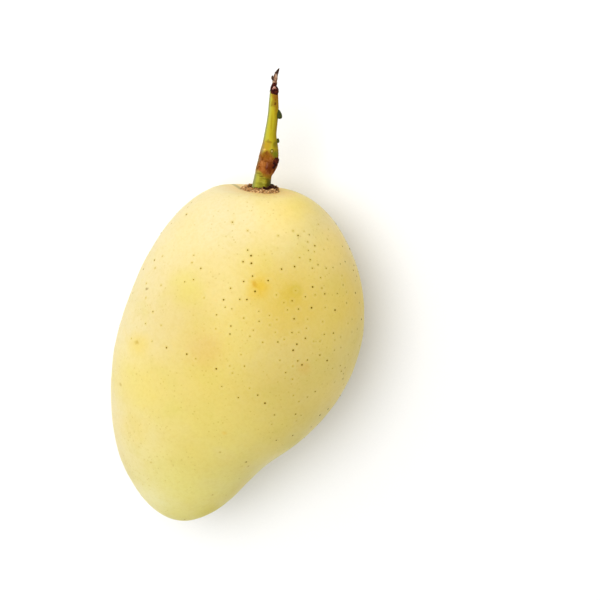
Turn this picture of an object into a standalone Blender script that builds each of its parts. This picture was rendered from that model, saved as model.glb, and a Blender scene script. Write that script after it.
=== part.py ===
"""A ripe yellow mango as picked, lying on one cheek, with its short green stalk still on.

Metres, +Z up. The origin is the middle of the small flat that the fruit rests on. +Y runs along the
fruit to its stalk, +X points to its fuller flank, and the other cheek is on top.
"""

import math

import bmesh
import bpy
import numpy as np
from mathutils import Matrix, Vector

MM = 0.001
GAP = 0.3 * MM  # left between pieces that touch

# The fruit seen from above, in millimetres, clockwise from the stalk's seat.
OUTLINE_MM = (
    (-3.0, 57.0),  # stalk's seat
    (17.0, 53.8),  # fuller shoulder
    (30.0, 41.6),
    (37.6, 26.0),
    (39.4, 10.0),  # widest
    (34.8, -8.4),
    (25.8, -23.0),
    (17.0, -33.2),  # shallow hollow beside the beak
    (8.8, -46.4),
    (-6.7, -57.6),  # tip
    (-22.7, -48.9),
    (-33.6, -29.6),
    (-38.0, -5.0),  # widest
    (-36.3, 15.2),
    (-30.0, 36.6),
    (-19.2, 51.4),  # sloping shoulder
)
TIP_POINT = 9  # which of those points is the tip
RINGS = 40
RING_POINTS = 48
HALF_THICKNESS = 33.4 * MM  # from the middle of the fruit to either cheek
END_ROUNDNESS = 46.0 * MM  # the same measure towards the two ends, where a section is nearly round
END_SHARPNESS = 1.5  # how closely that rounding keeps to the ends
THICKEST_SHIFT = 0.94  # under 1 moves the thickest place from the middle towards the stalk
BACK_FULLNESS = 0.04  # how much thicker the fuller flank is than the other
CHEEK_POWER = 2.12  # 2 is an ellipse across the fruit, and more is squarer

# The flat that it rests on, at the bottom of the lower cheek: its depth and the rounding of its rim.
REST_DEPTH = 1.1 * MM
REST_RIM = 0.15 * MM

# The stalk's seat: the flat top end of the fruit, which leans towards the sloping shoulder.
SEAT_DEPTH = 1.9 * MM
SEAT_RIM = 0.6 * MM
SEAT_LEAN = math.radians(7.5)

# The corky collar that the stalk stands in: radius and height of each ring, from its rim inwards.
COLLAR_MM = ((6.0, 0.0), (6.2, 0.3), (5.8, 0.65), (4.7, 0.9), (3.9, 0.7), (3.5, 0.4))
COLLAR_POINTS = 42
COLLAR_LOBES = 7
COLLAR_LOBE_SHARE = 0.04

# The stalk: height on the collar, bend towards +X, bend upwards, and radius, in millimetres.
STALK_MM = (
    (0.0, 0.00, 0.00, 3.00),
    (1.2, 0.05, 0.00, 2.82),
    (3.8, 0.30, 0.05, 2.76),
    (7.2, 1.20, 0.15, 3.25),  # corky swelling
    (9.0, 1.72, 0.25, 3.26),
    (12.4, 1.90, 0.35, 2.66),
    (15.1, 1.84, 0.40, 2.08),
    (17.5, 1.82, 0.45, 1.82),
    (20.9, 2.00, 0.50, 1.66),
    (24.3, 2.20, 0.50, 1.64),
    (27.7, 2.02, 0.40, 1.44),
    (30.0, 1.90, 0.30, 1.20),  # the withered end starts here
    (31.8, 1.80, 0.22, 1.00),
    (33.4, 1.88, 0.10, 0.74),
    (34.8, 2.12, -0.10, 0.54),
    (36.2, 2.48, -0.20, 0.34),
    (37.4, 2.80, -0.15, 0.14),
)
STALK_SIDES = 20
STALK_STEPS = 46

# Stubs of fallen side stalks, on the stalk's +X side: height on the collar, half length along the
# stalk, half width, how far the stub's middle is from the stalk's, and its turn in degrees.
STUBS_MM = (
    (23.2, 1.40, 0.75, 1.95, 12),
    (15.0, 0.60, 0.45, 2.20, 4),
)
STUB_SIDES = 12
STUB_RINGS = 8

# Each finish: base colour and roughness.
FINISHES = {
    "skin": ((0.88, 0.70, 0.24), 0.42),
    "cork": ((0.36, 0.19, 0.08), 0.85),
    "stalk": ((0.42, 0.42, 0.06), 0.50),
}


def clear_scene():
    for obj in list(bpy.data.objects):
        bpy.data.objects.remove(obj)


def material(finish):
    """The Principled material of one finish, made the first time that it is asked for."""
    if finish in bpy.data.materials:
        return bpy.data.materials[finish]
    colour, roughness = FINISHES[finish]
    made = bpy.data.materials.new(finish)
    made.use_nodes = True
    shader = made.node_tree.nodes["Principled BSDF"]
    shader.inputs["Base Color"].default_value = (*colour, 1)
    shader.inputs["Roughness"].default_value = roughness
    shader.inputs["Metallic"].default_value = 0
    return made


def add_object(name, bm, finish, parent):
    """Makes a closed bmesh an object, in its parent's frame."""
    bmesh.ops.recalc_face_normals(bm, faces=bm.faces)
    mesh = bpy.data.meshes.new(name)
    bm.to_mesh(mesh)
    bm.free()
    mesh.shade_smooth()
    mesh.set_sharp_from_angle(angle=math.radians(40))
    mesh.materials.append(material(finish))
    obj = bpy.data.objects.new(name, mesh)
    obj.parent = parent
    bpy.context.scene.collection.objects.link(obj)
    return obj


def add_empty(name, location, rotation=(0, 0, 0), parent=None):
    empty = bpy.data.objects.new(name, None)
    empty.location = location
    empty.rotation_euler = rotation
    empty.parent = parent
    bpy.context.scene.collection.objects.link(empty)
    return empty


def spline(knots, points, at, closed=False):
    """A smooth cubic spline through points, one at each knot, read at the values in at.

    A closed spline returns to its first point at one more knot.
    """
    knots, points, at = (np.asarray(values, float) for values in (knots, points, at))
    if closed:
        points = np.vstack([points, points[:1]])
    last = len(knots) - 1
    step = np.diff(knots)
    slope = np.diff(points, axis=0) / step[:, None]
    rows = np.zeros((last + 1, last + 1))
    wanted = np.zeros_like(points)
    for i in range(1, last):
        rows[i, i - 1 : i + 2] = step[i - 1], 2 * (step[i - 1] + step[i]), step[i]
        wanted[i] = 6 * (slope[i] - slope[i - 1])
    rows[0, 0] = rows[last, last] = 1
    if closed:  # the same bend at both ends, and the same slope
        rows[0, last] = -1
        rows[last, [0, 1]] = 2 * step[0], step[0]
        rows[last, [last - 1, last]] = step[-1], 2 * step[-1]
        wanted[last] = 6 * (slope[0] - slope[-1])
    bend = np.linalg.solve(rows, wanted)
    i = np.clip(np.searchsorted(knots, at, side="right") - 1, 0, last - 1)
    to_next = ((knots[i + 1] - at) / step[i])[:, None]
    from_last = 1 - to_next
    curve = (to_next**3 - to_next) * bend[i] + (from_last**3 - from_last) * bend[i + 1]
    return to_next * points[i] + from_last * points[i + 1] + curve * step[i, None] ** 2 / 6


def flank(knots, points, start, end):
    """RINGS + 1 points at even distances along the closed outline between two of its knots."""
    fine = spline(knots, points, np.linspace(start, end, 50 * RINGS) % knots[-1], closed=True)
    length = np.cumsum(np.linalg.norm(np.diff(fine, axis=0, prepend=fine[:1]), axis=1))
    even = np.linspace(0, length[-1], RINGS + 1)
    return np.stack([np.interp(even, length, fine[:, axis]) for axis in (0, 1)], axis=1)


def half_thickness(share):
    """Half the fruit's thickness at a share of the way along its flanks, 0 at the stalk and 1 at the tip."""
    swell = math.sin(math.pi * share**THICKEST_SHIFT)
    ends = (1 - swell) ** END_SHARPNESS
    return swell * (HALF_THICKNESS + (END_ROUNDNESS - HALF_THICKNESS) * ends)


def rounded(value):
    """A sine or cosine reshaped for the oval across the fruit."""
    return math.copysign(abs(value) ** (2 / CHEEK_POWER), value)


def fruit_rings():
    """The seat's point, the oval rings that stand on chords between the two flanks, and the tip."""
    points = np.array(OUTLINE_MM) * MM
    sides = np.linalg.norm(np.diff(points, axis=0, append=points[:1]), axis=1)
    knots = np.concatenate([[0], np.cumsum(sides)])
    full_side = flank(knots, points, 0, knots[TIP_POINT])
    other_side = flank(knots, points, knots[-1], knots[TIP_POINT])
    rings = []
    for i in range(1, RINGS):
        middle = (full_side[i] + other_side[i]) / 2
        reach = (full_side[i] - other_side[i]) / 2
        height = half_thickness(i / RINGS)
        ring = []
        for j in range(RING_POINTS):
            turn = 2 * math.pi * j / RING_POINTS
            across = rounded(math.cos(turn))
            up = rounded(math.sin(turn)) * (1 + BACK_FULLNESS * across)
            ring.append((*(middle + reach * across), height * up))
        rings.append(ring)
    return Vector((*full_side[0], 0)), rings, Vector((*full_side[-1], 0))


def tube_rings(stations_mm, steps, sides):
    """Rings square to a smooth path. A station is its height, two sideways bends and its radius."""
    stations = np.array(stations_mm) * MM
    heights = np.linspace(stations[0, 0], stations[-1, 0], steps + 1)
    bends = spline(stations[:, 0], stations[:, 1:], heights)
    # In the stalk's frame +Y points down, so a bend upwards is negative there.
    path = [Vector((x, -up, z)) for z, (x, up, _) in zip(heights, bends)]
    rings = []
    for i, centre in enumerate(path):
        ahead = path[min(i + 1, steps)] - path[max(i - 1, 0)]
        square = Vector((0, 0, 1)).rotation_difference(ahead)
        ring = []
        for j in range(sides):
            turn = 2 * math.pi * j / sides
            spoke = Vector((math.cos(turn), math.sin(turn), 0)) * bends[i, 2]
            ring.append(centre + square @ spoke)
        rings.append(ring)
    return rings


def skinned(rings, poles=(None, None)):
    """A closed bmesh over rings of points. An end with no pole is one flat face."""
    bm = bmesh.new()
    loops = [[bm.verts.new(point) for point in ring] for ring in rings]
    pairs = [(j, (j + 1) % len(rings[0])) for j in range(len(rings[0]))]
    for loop, following in zip(loops, loops[1:]):
        for j, k in pairs:
            bm.faces.new((loop[j], loop[k], following[k], following[j]))
    for loop, pole in zip((loops[0], loops[-1]), poles):
        if pole is None:
            bm.faces.new(loop)
            continue
        centre = bm.verts.new(pole)
        for j, k in pairs:
            bm.faces.new((loop[j], loop[k], centre))
    bmesh.ops.recalc_face_normals(bm, faces=bm.faces)
    return bm


def press_flat(bm, point, outward, rim):
    """Presses what lies beyond a plane flat on to it, with a rounded rim. Returns the flat's middle."""
    for vertex in bm.verts:
        beyond = (vertex.co - point).dot(outward)
        if beyond > rim:
            vertex.co -= outward * beyond
        elif beyond > -rim:
            vertex.co -= outward * (beyond + (rim - beyond) ** 2 / (4 * rim))
    bm.normal_update()
    flat = [face for face in bm.faces if face.normal.dot(outward) > 1 - 1e-6]
    area = sum(face.calc_area() for face in flat)
    return sum((face.calc_center_median_weighted() * face.calc_area() for face in flat), Vector()) / area


def make_fruit():
    """The whole fruit, held by an empty. Returns the empty at the stalk's seat."""
    seat, rings, tip = fruit_rings()
    bm = skinned(rings, (seat, tip))
    outward = Vector((-math.sin(SEAT_LEAN), math.cos(SEAT_LEAN), 0))
    seat -= outward * SEAT_DEPTH
    press_flat(bm, seat, outward, SEAT_RIM)
    lowest = min(vertex.co.z for vertex in bm.verts)
    rest = press_flat(bm, Vector((0, 0, lowest + REST_DEPTH)), Vector((0, 0, -1)), REST_RIM)
    mango = add_empty("mango", -rest)
    add_object("fruit", bm, "skin", mango)
    # +Z of this empty points out along the stalk, and its +Y down.
    stalk_seat = add_empty("stalk_seat", seat, (math.radians(-90), 0, SEAT_LEAN), mango)
    return stalk_seat


def make_collar(stalk_seat):
    """The corky collar: a low ring with a lobed rim, closed in the middle. Returns its top's height."""
    rings = []
    for radius, height in COLLAR_MM:
        ring = []
        for j in range(COLLAR_POINTS):
            turn = 2 * math.pi * j / COLLAR_POINTS
            lobe = 1 + COLLAR_LOBE_SHARE * math.sin(COLLAR_LOBES * turn)
            spoke = Vector((math.cos(turn), math.sin(turn), 0)) * radius * lobe * MM
            ring.append(spoke + Vector((0, 0, height * MM + GAP)))
        rings.append(ring)
    add_object("stem_collar", skinned(rings), "cork", stalk_seat)
    return COLLAR_MM[-1][1] * MM + GAP


def make_stub(stub_mm, foot):
    """A small knob that is sunk into the stalk's side, its long way along it."""
    height, half_length, half_width, reach, turn = stub_mm
    stations = np.array(STALK_MM)
    x, up, _ = spline(stations[:, 0], stations[:, 1:], [height])[0]
    bm = bmesh.new()
    bmesh.ops.create_uvsphere(bm, u_segments=STUB_SIDES, v_segments=STUB_RINGS, radius=MM)
    size = Matrix.Diagonal((half_width, half_width, half_length, 1))
    bmesh.ops.transform(bm, matrix=size, verts=bm.verts)
    stub = add_object("stub", bm, "stalk", foot)
    away = Matrix.Rotation(math.radians(-turn), 3, "Z") @ Vector((reach, 0, 0))
    stub.location = (Vector((x, -up, height)) + away) * MM
    stub.hide_render = True
    stub.display_type = "WIRE"
    return stub


def make_stalk(foot):
    """The stalk from its foot to its withered end, with the stubs joined to it."""
    stalk = add_object("stem", skinned(tube_rings(STALK_MM, STALK_STEPS, STALK_SIDES)), "stalk", foot)
    for stub_mm in STUBS_MM:
        joined = stalk.modifiers.new("stub", "BOOLEAN")
        joined.operation = "UNION"
        joined.object = make_stub(stub_mm, foot)


def main():
    clear_scene()
    stalk_seat = make_fruit()
    collar_top = make_collar(stalk_seat)
    make_stalk(add_empty("stalk_foot", (0, 0, collar_top + GAP), parent=stalk_seat))


main()
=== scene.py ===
"""The looks of a ripe yellow mango that lies on one cheek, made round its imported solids.

The skin with its breathing dots, the corky collar and the stalk with its withered end are modelled
in full detail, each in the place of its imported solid. Lengths are in metres unless a name ends in _mm,
and a number times MM is in metres too. The fuller flank is on the +x side, the stalk on the +y side.
"""

import functools
import logging
import math
from dataclasses import astuple, dataclass, replace
from enum import Enum

import bpy
from bpy.types import ID, Material, Mesh, Node, NodeTree, Object
from bpy.types import NodeSocket as Socket
from mathutils import Matrix, Vector


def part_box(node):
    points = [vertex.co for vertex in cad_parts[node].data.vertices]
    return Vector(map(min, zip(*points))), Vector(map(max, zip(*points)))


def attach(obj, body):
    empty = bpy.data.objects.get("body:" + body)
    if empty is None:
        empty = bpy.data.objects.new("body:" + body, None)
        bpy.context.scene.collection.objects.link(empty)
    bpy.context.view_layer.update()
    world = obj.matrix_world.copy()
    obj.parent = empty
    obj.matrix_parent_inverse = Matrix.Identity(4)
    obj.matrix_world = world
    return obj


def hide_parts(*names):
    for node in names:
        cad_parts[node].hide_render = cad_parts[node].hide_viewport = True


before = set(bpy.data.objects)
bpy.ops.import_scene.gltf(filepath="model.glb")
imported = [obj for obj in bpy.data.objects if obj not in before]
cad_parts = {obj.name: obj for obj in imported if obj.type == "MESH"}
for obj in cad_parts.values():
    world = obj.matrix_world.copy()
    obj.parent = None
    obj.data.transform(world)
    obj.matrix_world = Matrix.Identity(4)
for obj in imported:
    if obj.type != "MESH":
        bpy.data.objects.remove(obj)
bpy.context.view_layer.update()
MM = 0.001
BODY = "root"
UP = Vector((0, 0, 1))
log = logging.getLogger("mango")

Colour = tuple[float, float, float, float]
Value = float | int | bool | str | tuple | Vector | Socket | Object
Inputs = dict[str, Value]


class Slot(Enum):
    """The record's material slots."""

    SKIN = "skin"
    CORK = "cork"
    STALK = "stalk"


class Cover(Enum):
    """How a colour changes the one under it."""

    HIDE = "MIX"
    STAIN = "MULTIPLY"


@dataclass(frozen=True)
class Fade:
    """A smooth change from low to high as a value goes from start to end, which may run down."""

    start: float
    end: float
    low: float = 0.0
    high: float = 1.0

    def after(self, origin: float) -> "Fade":
        """Returns the same change with start and end counted from an origin."""
        return Fade(origin + self.start, origin + self.end, self.low, self.high)


@dataclass(frozen=True)
class Soft:
    """A soft pattern: about how far apart its lumps are, its finer layers, their strength, its bend."""

    size: float
    detail: float = 2.0
    rough: float = 0.5
    bend: float = 0.0


@dataclass(frozen=True)
class Wash:
    """A colour that comes over another as a pattern goes from start to end."""

    shade: str
    start: float
    end: float
    strength: float = 1.0
    cover: Cover = Cover.HIDE


def colour(hex_code: str) -> Colour:
    """Turns a display colour into the linear one that shaders take.

    Args:
        hex_code: Red, green and blue as six hexadecimal digits.

    Returns:
        The linear colour, with full alpha.
    """
    channels = [int(hex_code[i : i + 2], 16) / 255 for i in (0, 2, 4)]
    red, green, blue = (c / 12.92 if c <= 0.04045 else ((c + 0.055) / 1.055) ** 2.4 for c in channels)
    return red, green, blue, 1.0


# ------------------------------------------------------------------ node trees


class Graph:
    """Adds nodes to one node tree and links them."""

    def __init__(self, tree: NodeTree) -> None:
        """Keeps the tree that the nodes go in."""
        self.tree = tree

    def node(self, kind: str, inputs: Inputs | None = None, **settings: object) -> Node:
        """Adds a node.

        Args:
            kind: The node's Blender type.
            inputs: Socket names, and the value or the output that each takes.
            settings: The node's own properties.

        Returns:
            The new node.
        """
        made = self.tree.nodes.new(kind)
        for name, value in settings.items():
            setattr(made, name, value)
        for name, value in (inputs or {}).items():
            self.feed(next(s for s in made.inputs if s.enabled and s.name == name), value)
        return made

    def feed(self, socket: Socket, value: Value) -> None:
        """Links an output to a socket, or sets the socket to a plain value.

        Args:
            socket: The socket.
            value: What it takes.
        """
        if isinstance(value, Socket):
            self.tree.links.new(value, socket)
        else:
            socket.default_value = value

    def out(self, kind: str, inputs: Inputs | None = None, **settings: object) -> Socket:
        """Adds a node and returns the first output that it uses."""
        return next(s for s in self.node(kind, inputs, **settings).outputs if s.enabled)

    def ordered(self, kind: str, operation: str, values: tuple[Value, ...]) -> Socket:
        """Adds a node whose inputs are given in order.

        Args:
            kind: The node's Blender type.
            operation: What it does.
            values: The values or outputs that its inputs take.

        Returns:
            The output that it uses.
        """
        made = self.node(kind, operation=operation)
        for socket, value in zip((s for s in made.inputs if s.enabled), values):
            self.feed(socket, value)
        return next(s for s in made.outputs if s.enabled)

    def math(self, operation: str, *values: Value) -> Socket:
        """Adds a Math node and returns its result."""
        return self.ordered("ShaderNodeMath", operation, values)

    def vector(self, operation: str, *values: Value) -> Socket:
        """Adds a Vector Math node and returns its result, a vector or a number."""
        return self.ordered("ShaderNodeVectorMath", operation, values)

    def ramp(self, value: Value, start: Value, end: Value, low: Value = 0.0, high: Value = 1.0) -> Socket:
        """Goes smoothly from low to high as a value goes from start to end, which may run down."""
        sizes = {"Value": value, "From Min": start, "From Max": end, "To Min": low, "To Max": high}
        return self.out("ShaderNodeMapRange", sizes, interpolation_type="SMOOTHSTEP")

    def fade(self, value: Value, change: Fade) -> Socket:
        """Reads a change at a value."""
        return self.ramp(value, change.start, change.end, change.low, change.high)

    def product(self, *values: Value) -> Socket:
        """Multiplies numbers."""
        return functools.reduce(lambda result, value: self.math("MULTIPLY", result, value), values)

    def centred(self, value: Value) -> Socket:
        """Moves a pattern that goes from 0 to 1 round zero."""
        return self.math("SUBTRACT", value, 0.5)

    def split(self, vector: Value) -> tuple[Socket, ...]:
        """Returns the three parts of a vector."""
        return tuple(self.node("ShaderNodeSeparateXYZ", {"Vector": vector}).outputs)

    def join(self, x: Value, y: Value, z: Value) -> Socket:
        """Makes a vector of its three parts."""
        return self.out("ShaderNodeCombineXYZ", {"X": x, "Y": y, "Z": z})

    def frequency(self, size: Value) -> Value:
        """Returns how many lumps of a size lie along a metre."""
        return self.math("DIVIDE", 1.0, size) if isinstance(size, Socket) else 1 / size

    def noise(
        self, vector: Value, size: Value, detail: float = 2.0, rough: float = 0.5, bend: float = 0.0
    ) -> Socket:
        """Returns soft noise from 0 to 1.

        Args:
            vector: Where it is read.
            size: About how far apart its lumps are.
            detail: How many finer layers it has.
            rough: How strong those layers are.
            bend: How much it is distorted.

        Returns:
            The noise's value.
        """
        sizes = {"Vector": vector, "Scale": self.frequency(size), "Detail": detail}
        sizes |= {"Roughness": rough, "Distortion": bend}
        return self.node("ShaderNodeTexNoise", sizes).outputs[0]

    def drift(self, vector: Value, size: float, reach: float) -> Socket:
        """Moves a place about by soft noise, so that an edge drawn there wanders.

        Args:
            vector: The place.
            size: About how far apart the noise's lumps are.
            reach: How far it can move.

        Returns:
            The moved place.
        """
        sizes = {"Vector": vector, "Scale": self.frequency(size), "Detail": 3.0}
        shake = self.node("ShaderNodeTexNoise", sizes).outputs["Color"]
        centred = self.vector("SUBTRACT", shake, (0.5, 0.5, 0.5))
        return self.vector("ADD", vector, self.scaled(centred, 2 * reach))

    def scaled(self, vector: Value, factor: Value) -> Socket:
        """Multiplies a vector by a number."""
        made = self.node("ShaderNodeVectorMath", {"Vector": vector, "Scale": factor}, operation="SCALE")
        return made.outputs[0]

    def cells(self, vector: Value, size: Value, feature: str = "F1") -> Socket:
        """Returns the distance to the nearest of scattered points, in shares of the size between them."""
        sizes = {"Vector": vector, "Scale": self.frequency(size)}
        return self.node("ShaderNodeTexVoronoi", sizes, feature=feature).outputs[0]

    def mix(self, factor: Value, first: Value, second: Value, blend: str = "MIX") -> Socket:
        """Mixes two colours."""
        inputs = {"Factor": factor, "A": first, "B": second}
        return self.out("ShaderNodeMix", inputs, data_type="RGBA", blend_type=blend)


class PieceTree(Graph):
    """A geometry node tree that makes one piece, with a named input for each of its sizes."""

    KINDS = {
        int: "NodeSocketInt",
        float: "NodeSocketFloat",
        Vector: "NodeSocketVector",
        Object: "NodeSocketObject",
    }

    def __init__(self, name: str) -> None:
        """Starts the tree with a geometry going in and one coming out.

        Args:
            name: The tree's name.
        """
        super().__init__(bpy.data.node_groups.new(name, "GeometryNodeTree"))
        for side in ("INPUT", "OUTPUT"):
            self.tree.interface.new_socket("Geometry", in_out=side, socket_type="NodeSocketGeometry")
        self.entry = self.tree.nodes.new("NodeGroupInput")
        self.values: dict[str, Value] = {}

    @property
    def given(self) -> Socket:
        """The geometry that goes in."""
        return self.entry.outputs["Geometry"]

    @property
    def place(self) -> Socket:
        """Each point's position."""
        return self.out("GeometryNodeInputPosition")

    def size(self, name: str, value: Value) -> Socket:
        """Adds a named input and notes the value that the piece gives it.

        Args:
            name: The input's name.
            value: The value.

        Returns:
            What the input gives the tree.
        """
        item = self.tree.interface.new_socket(name, in_out="INPUT", socket_type=self.KINDS[type(value)])
        self.values[item.identifier] = value
        return self.entry.outputs[name]

    def random(self, low: Value, high: Value, seed: Value) -> Socket:
        """Returns a random number for each point or instance."""
        return self.out("FunctionNodeRandomValue", {"Min": low, "Max": high, "Seed": seed}, data_type="FLOAT")

    def other(self, name: str, source: Object) -> Socket:
        """Adds a named input that takes an object, and returns that object's geometry."""
        return self.node("GeometryNodeObjectInfo", {"Object": self.size(name, source)}).outputs["Geometry"]

    def relief(self, name: str, size: float, height: float, **pattern: float) -> Socket:
        """Returns soft relief round zero, whose size and height are named inputs.

        Args:
            name: What the inputs' names start with.
            size: About how far apart its lumps are.
            height: How high they would stand at the noise's full range.
            pattern: The noise's detail, rough and bend.

        Returns:
            The relief's height at each point.
        """
        lumps = self.noise(self.place, self.size(f"{name} Size", size), **pattern)
        return self.product(self.centred(lumps), self.size(f"{name} Height", height))

    def strew(self, surface: Value, shape: Value, sizes: Inputs, scale: Value) -> Socket:
        """Strews a shape over a surface, evenly spaced and turned with it.

        Args:
            surface: The mesh.
            shape: What is strewn.
            sizes: The spacing, the density and the seed.
            scale: The size of each.

        Returns:
            The instances.
        """
        inputs = {"Mesh": surface, **sizes}
        strewn = self.node("GeometryNodeDistributePointsOnFaces", inputs, distribute_method="POISSON")
        places = {name: strewn.outputs[name] for name in ("Points", "Rotation")}
        return self.out("GeometryNodeInstanceOnPoints", {"Instance": shape, "Scale": scale, **places})

    def ball(self, side_points: Value) -> tuple[Socket, Socket]:
        """Adds a closed mesh of even cells, and gives each of its points' direction on a ball.

        Args:
            side_points: How many points lie along each side of the six panels of cells.

        Returns:
            The mesh and the directions.
        """
        counts = {f"Vertices {axis}": side_points for axis in "XYZ"}
        cube = self.out("GeometryNodeMeshCube", {"Size": (2, 2, 2), **counts})
        even = self.vector("TANGENT", self.scaled(self.place, math.pi / 4))
        return cube, self.vector("NORMALIZE", even)

    def put(self, geometry: Value, position: Value) -> Socket:
        """Puts each point of a geometry at a position."""
        return self.out("GeometryNodeSetPosition", {"Geometry": geometry, "Position": position})

    def swell(self, geometry: Value, height: Value) -> Socket:
        """Moves each point of a surface outward by a height."""
        offset = self.scaled(self.out("GeometryNodeInputNormal"), height)
        return self.out("GeometryNodeSetPosition", {"Geometry": geometry, "Offset": offset})

    def store(self, geometry: Value, name: str, value: Value, domain: str = "POINT") -> Socket:
        """Stores a number on each point or instance under a name that the material reads."""
        inputs = {"Geometry": geometry, "Name": name, "Value": value}
        return self.out("GeometryNodeStoreNamedAttribute", inputs, data_type="FLOAT", domain=domain)

    def together(self, *geometries: Value) -> Socket:
        """Joins geometries.

        Args:
            geometries: What is joined, in order.

        Returns:
            The whole.
        """
        made = self.tree.nodes.new("GeometryNodeJoinGeometry")
        for geometry in reversed(geometries):
            self.tree.links.new(geometry, made.inputs[0])
        return made.outputs[0]

    def make(self, geometry: Value, material: Material, source: Object | None = None) -> Mesh:
        """Ends the tree, runs it and returns what it makes.

        Args:
            geometry: The geometry that the tree ends with.
            material: What its faces are dressed in.
            source: The object whose geometry goes in, which is then removed. None is an empty mesh.

        Returns:
            The plain mesh.
        """
        real = self.out("GeometryNodeRealizeInstances", {"Geometry": geometry})
        smooth = self.out("GeometryNodeSetShadeSmooth", {"Geometry": real, "Shade Smooth": True})
        dressed = self.out("GeometryNodeSetMaterial", {"Geometry": smooth, "Material": material})
        self.tree.links.new(dressed, self.tree.nodes.new("NodeGroupOutput").inputs["Geometry"])
        source = source or add_object(self.tree.name, bpy.data.meshes.new(self.tree.name))
        modifier = source.modifiers.new(self.tree.name, "NODES")
        modifier.node_group = self.tree
        for identifier, value in self.values.items():
            modifier[identifier] = tuple(value) if isinstance(value, Vector) else value
        graph = bpy.context.evaluated_depsgraph_get()
        result = source.evaluated_get(graph)
        mesh = bpy.data.meshes.new_from_object(result, preserve_all_data_layers=True, depsgraph=graph)
        source.modifiers.remove(modifier)
        bpy.data.objects.remove(source)
        return mesh


class Finish(Graph):
    """A material's node tree, round one Principled shader."""

    def __init__(self, name: str, **constants: float | tuple) -> None:
        """Makes the material.

        Args:
            name: The material's name.
            constants: What is the same all over it, by the shader's socket names with _ for a space.
        """
        self.material = bpy.data.materials.new(name)
        self.material.use_nodes = True
        super().__init__(self.material.node_tree)
        self.shader = self.tree.nodes["Principled BSDF"]
        for socket, value in constants.items():
            self.shader.inputs[socket.replace("_", " ")].default_value = value
        self.place = self.node("ShaderNodeTexCoord").outputs["Object"]

    def stored(self, name: str) -> Socket:
        """Reads a number that the piece's mesh holds."""
        return self.node("ShaderNodeAttribute", attribute_name=name).outputs["Fac"]

    def soft(self, pattern: Soft) -> Socket:
        """Reads a soft pattern, which goes from 0 to 1."""
        return self.noise(self.place, *astuple(pattern))

    def lay(self, base: Value, wash: Wash, pattern: Value, *masks: Value) -> Socket:
        """Lays a wash over a colour.

        Args:
            base: The colour under it.
            wash: What is laid.
            pattern: The pattern that brings it in.
            masks: Numbers from 0 to 1 that hold it back.

        Returns:
            The colour on top.
        """
        amount = self.ramp(pattern, wash.start, wash.end, 0.0, wash.strength)
        return self.mix(self.product(amount, *masks), base, colour(wash.shade), wash.cover.value)

    def layers(self, base: Value, *laid: tuple[Wash, Value]) -> Socket:
        """Lays washes over a colour, the lowest first.

        Args:
            base: The colour under them.
            laid: Each wash, with the pattern that brings it in.

        Returns:
            The colour on top.
        """
        for wash, pattern in laid:
            base = self.lay(base, wash, pattern)
        return base

    def dress(self, base: Value, rough: Value, height: Value, relief: float) -> Material:
        """Links the patterns to the shader.

        Args:
            base: The colour.
            rough: The roughness.
            height: The finest relief, as a share from 0 to 1.
            relief: How high a share of 1 stands.

        Returns:
            The finished material.
        """
        bump = self.out("ShaderNodeBump", {"Height": height, "Distance": relief, "Strength": 1.0})
        for name, value in (("Base Color", base), ("Roughness", rough), ("Normal", bump)):
            self.feed(self.shader.inputs[name], value)
        return self.material


# ------------------------------------------------------------------ places and pieces


def add_object(name: str, data: ID) -> Object:
    """Puts an object in the scene.

    Args:
        name: The object's name.
        data: Its mesh, curve, camera or lamp.

    Returns:
        The object.
    """
    made = bpy.data.objects.new(name, data)
    bpy.context.scene.collection.objects.link(made)
    return made


def add_piece(name: str, mesh: Mesh, slot: Slot, *replaced: str) -> Object:
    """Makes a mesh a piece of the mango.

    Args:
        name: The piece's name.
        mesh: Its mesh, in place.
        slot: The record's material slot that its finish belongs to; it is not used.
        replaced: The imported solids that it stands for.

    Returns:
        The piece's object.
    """
    mesh.name = name
    piece = add_object(name, mesh)
    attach(piece, BODY)
    if replaced:
        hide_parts(*replaced)
    log.info("%s: %d faces", name, len(mesh.polygons))
    return piece


def add_path(name: str, points: list[Vector], radii: list[float], closed: bool = False) -> Object:
    """Makes a curve through points, for a geometry tree to work on.

    Args:
        name: The curve's name.
        points: Its points in order.
        radii: The radius at each point.
        closed: Whether it returns to its first point.

    Returns:
        The curve's object.
    """
    curve = bpy.data.curves.new(name, "CURVE")
    curve.dimensions = "3D"
    spline = curve.splines.new("POLY")
    spline.points.add(len(points) - 1)
    spline.use_cyclic_u = closed
    for knot, point, radius in zip(spline.points, points, radii):
        knot.co = (*point, 1)
        knot.radius = radius
    return add_object(name, curve)


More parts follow.
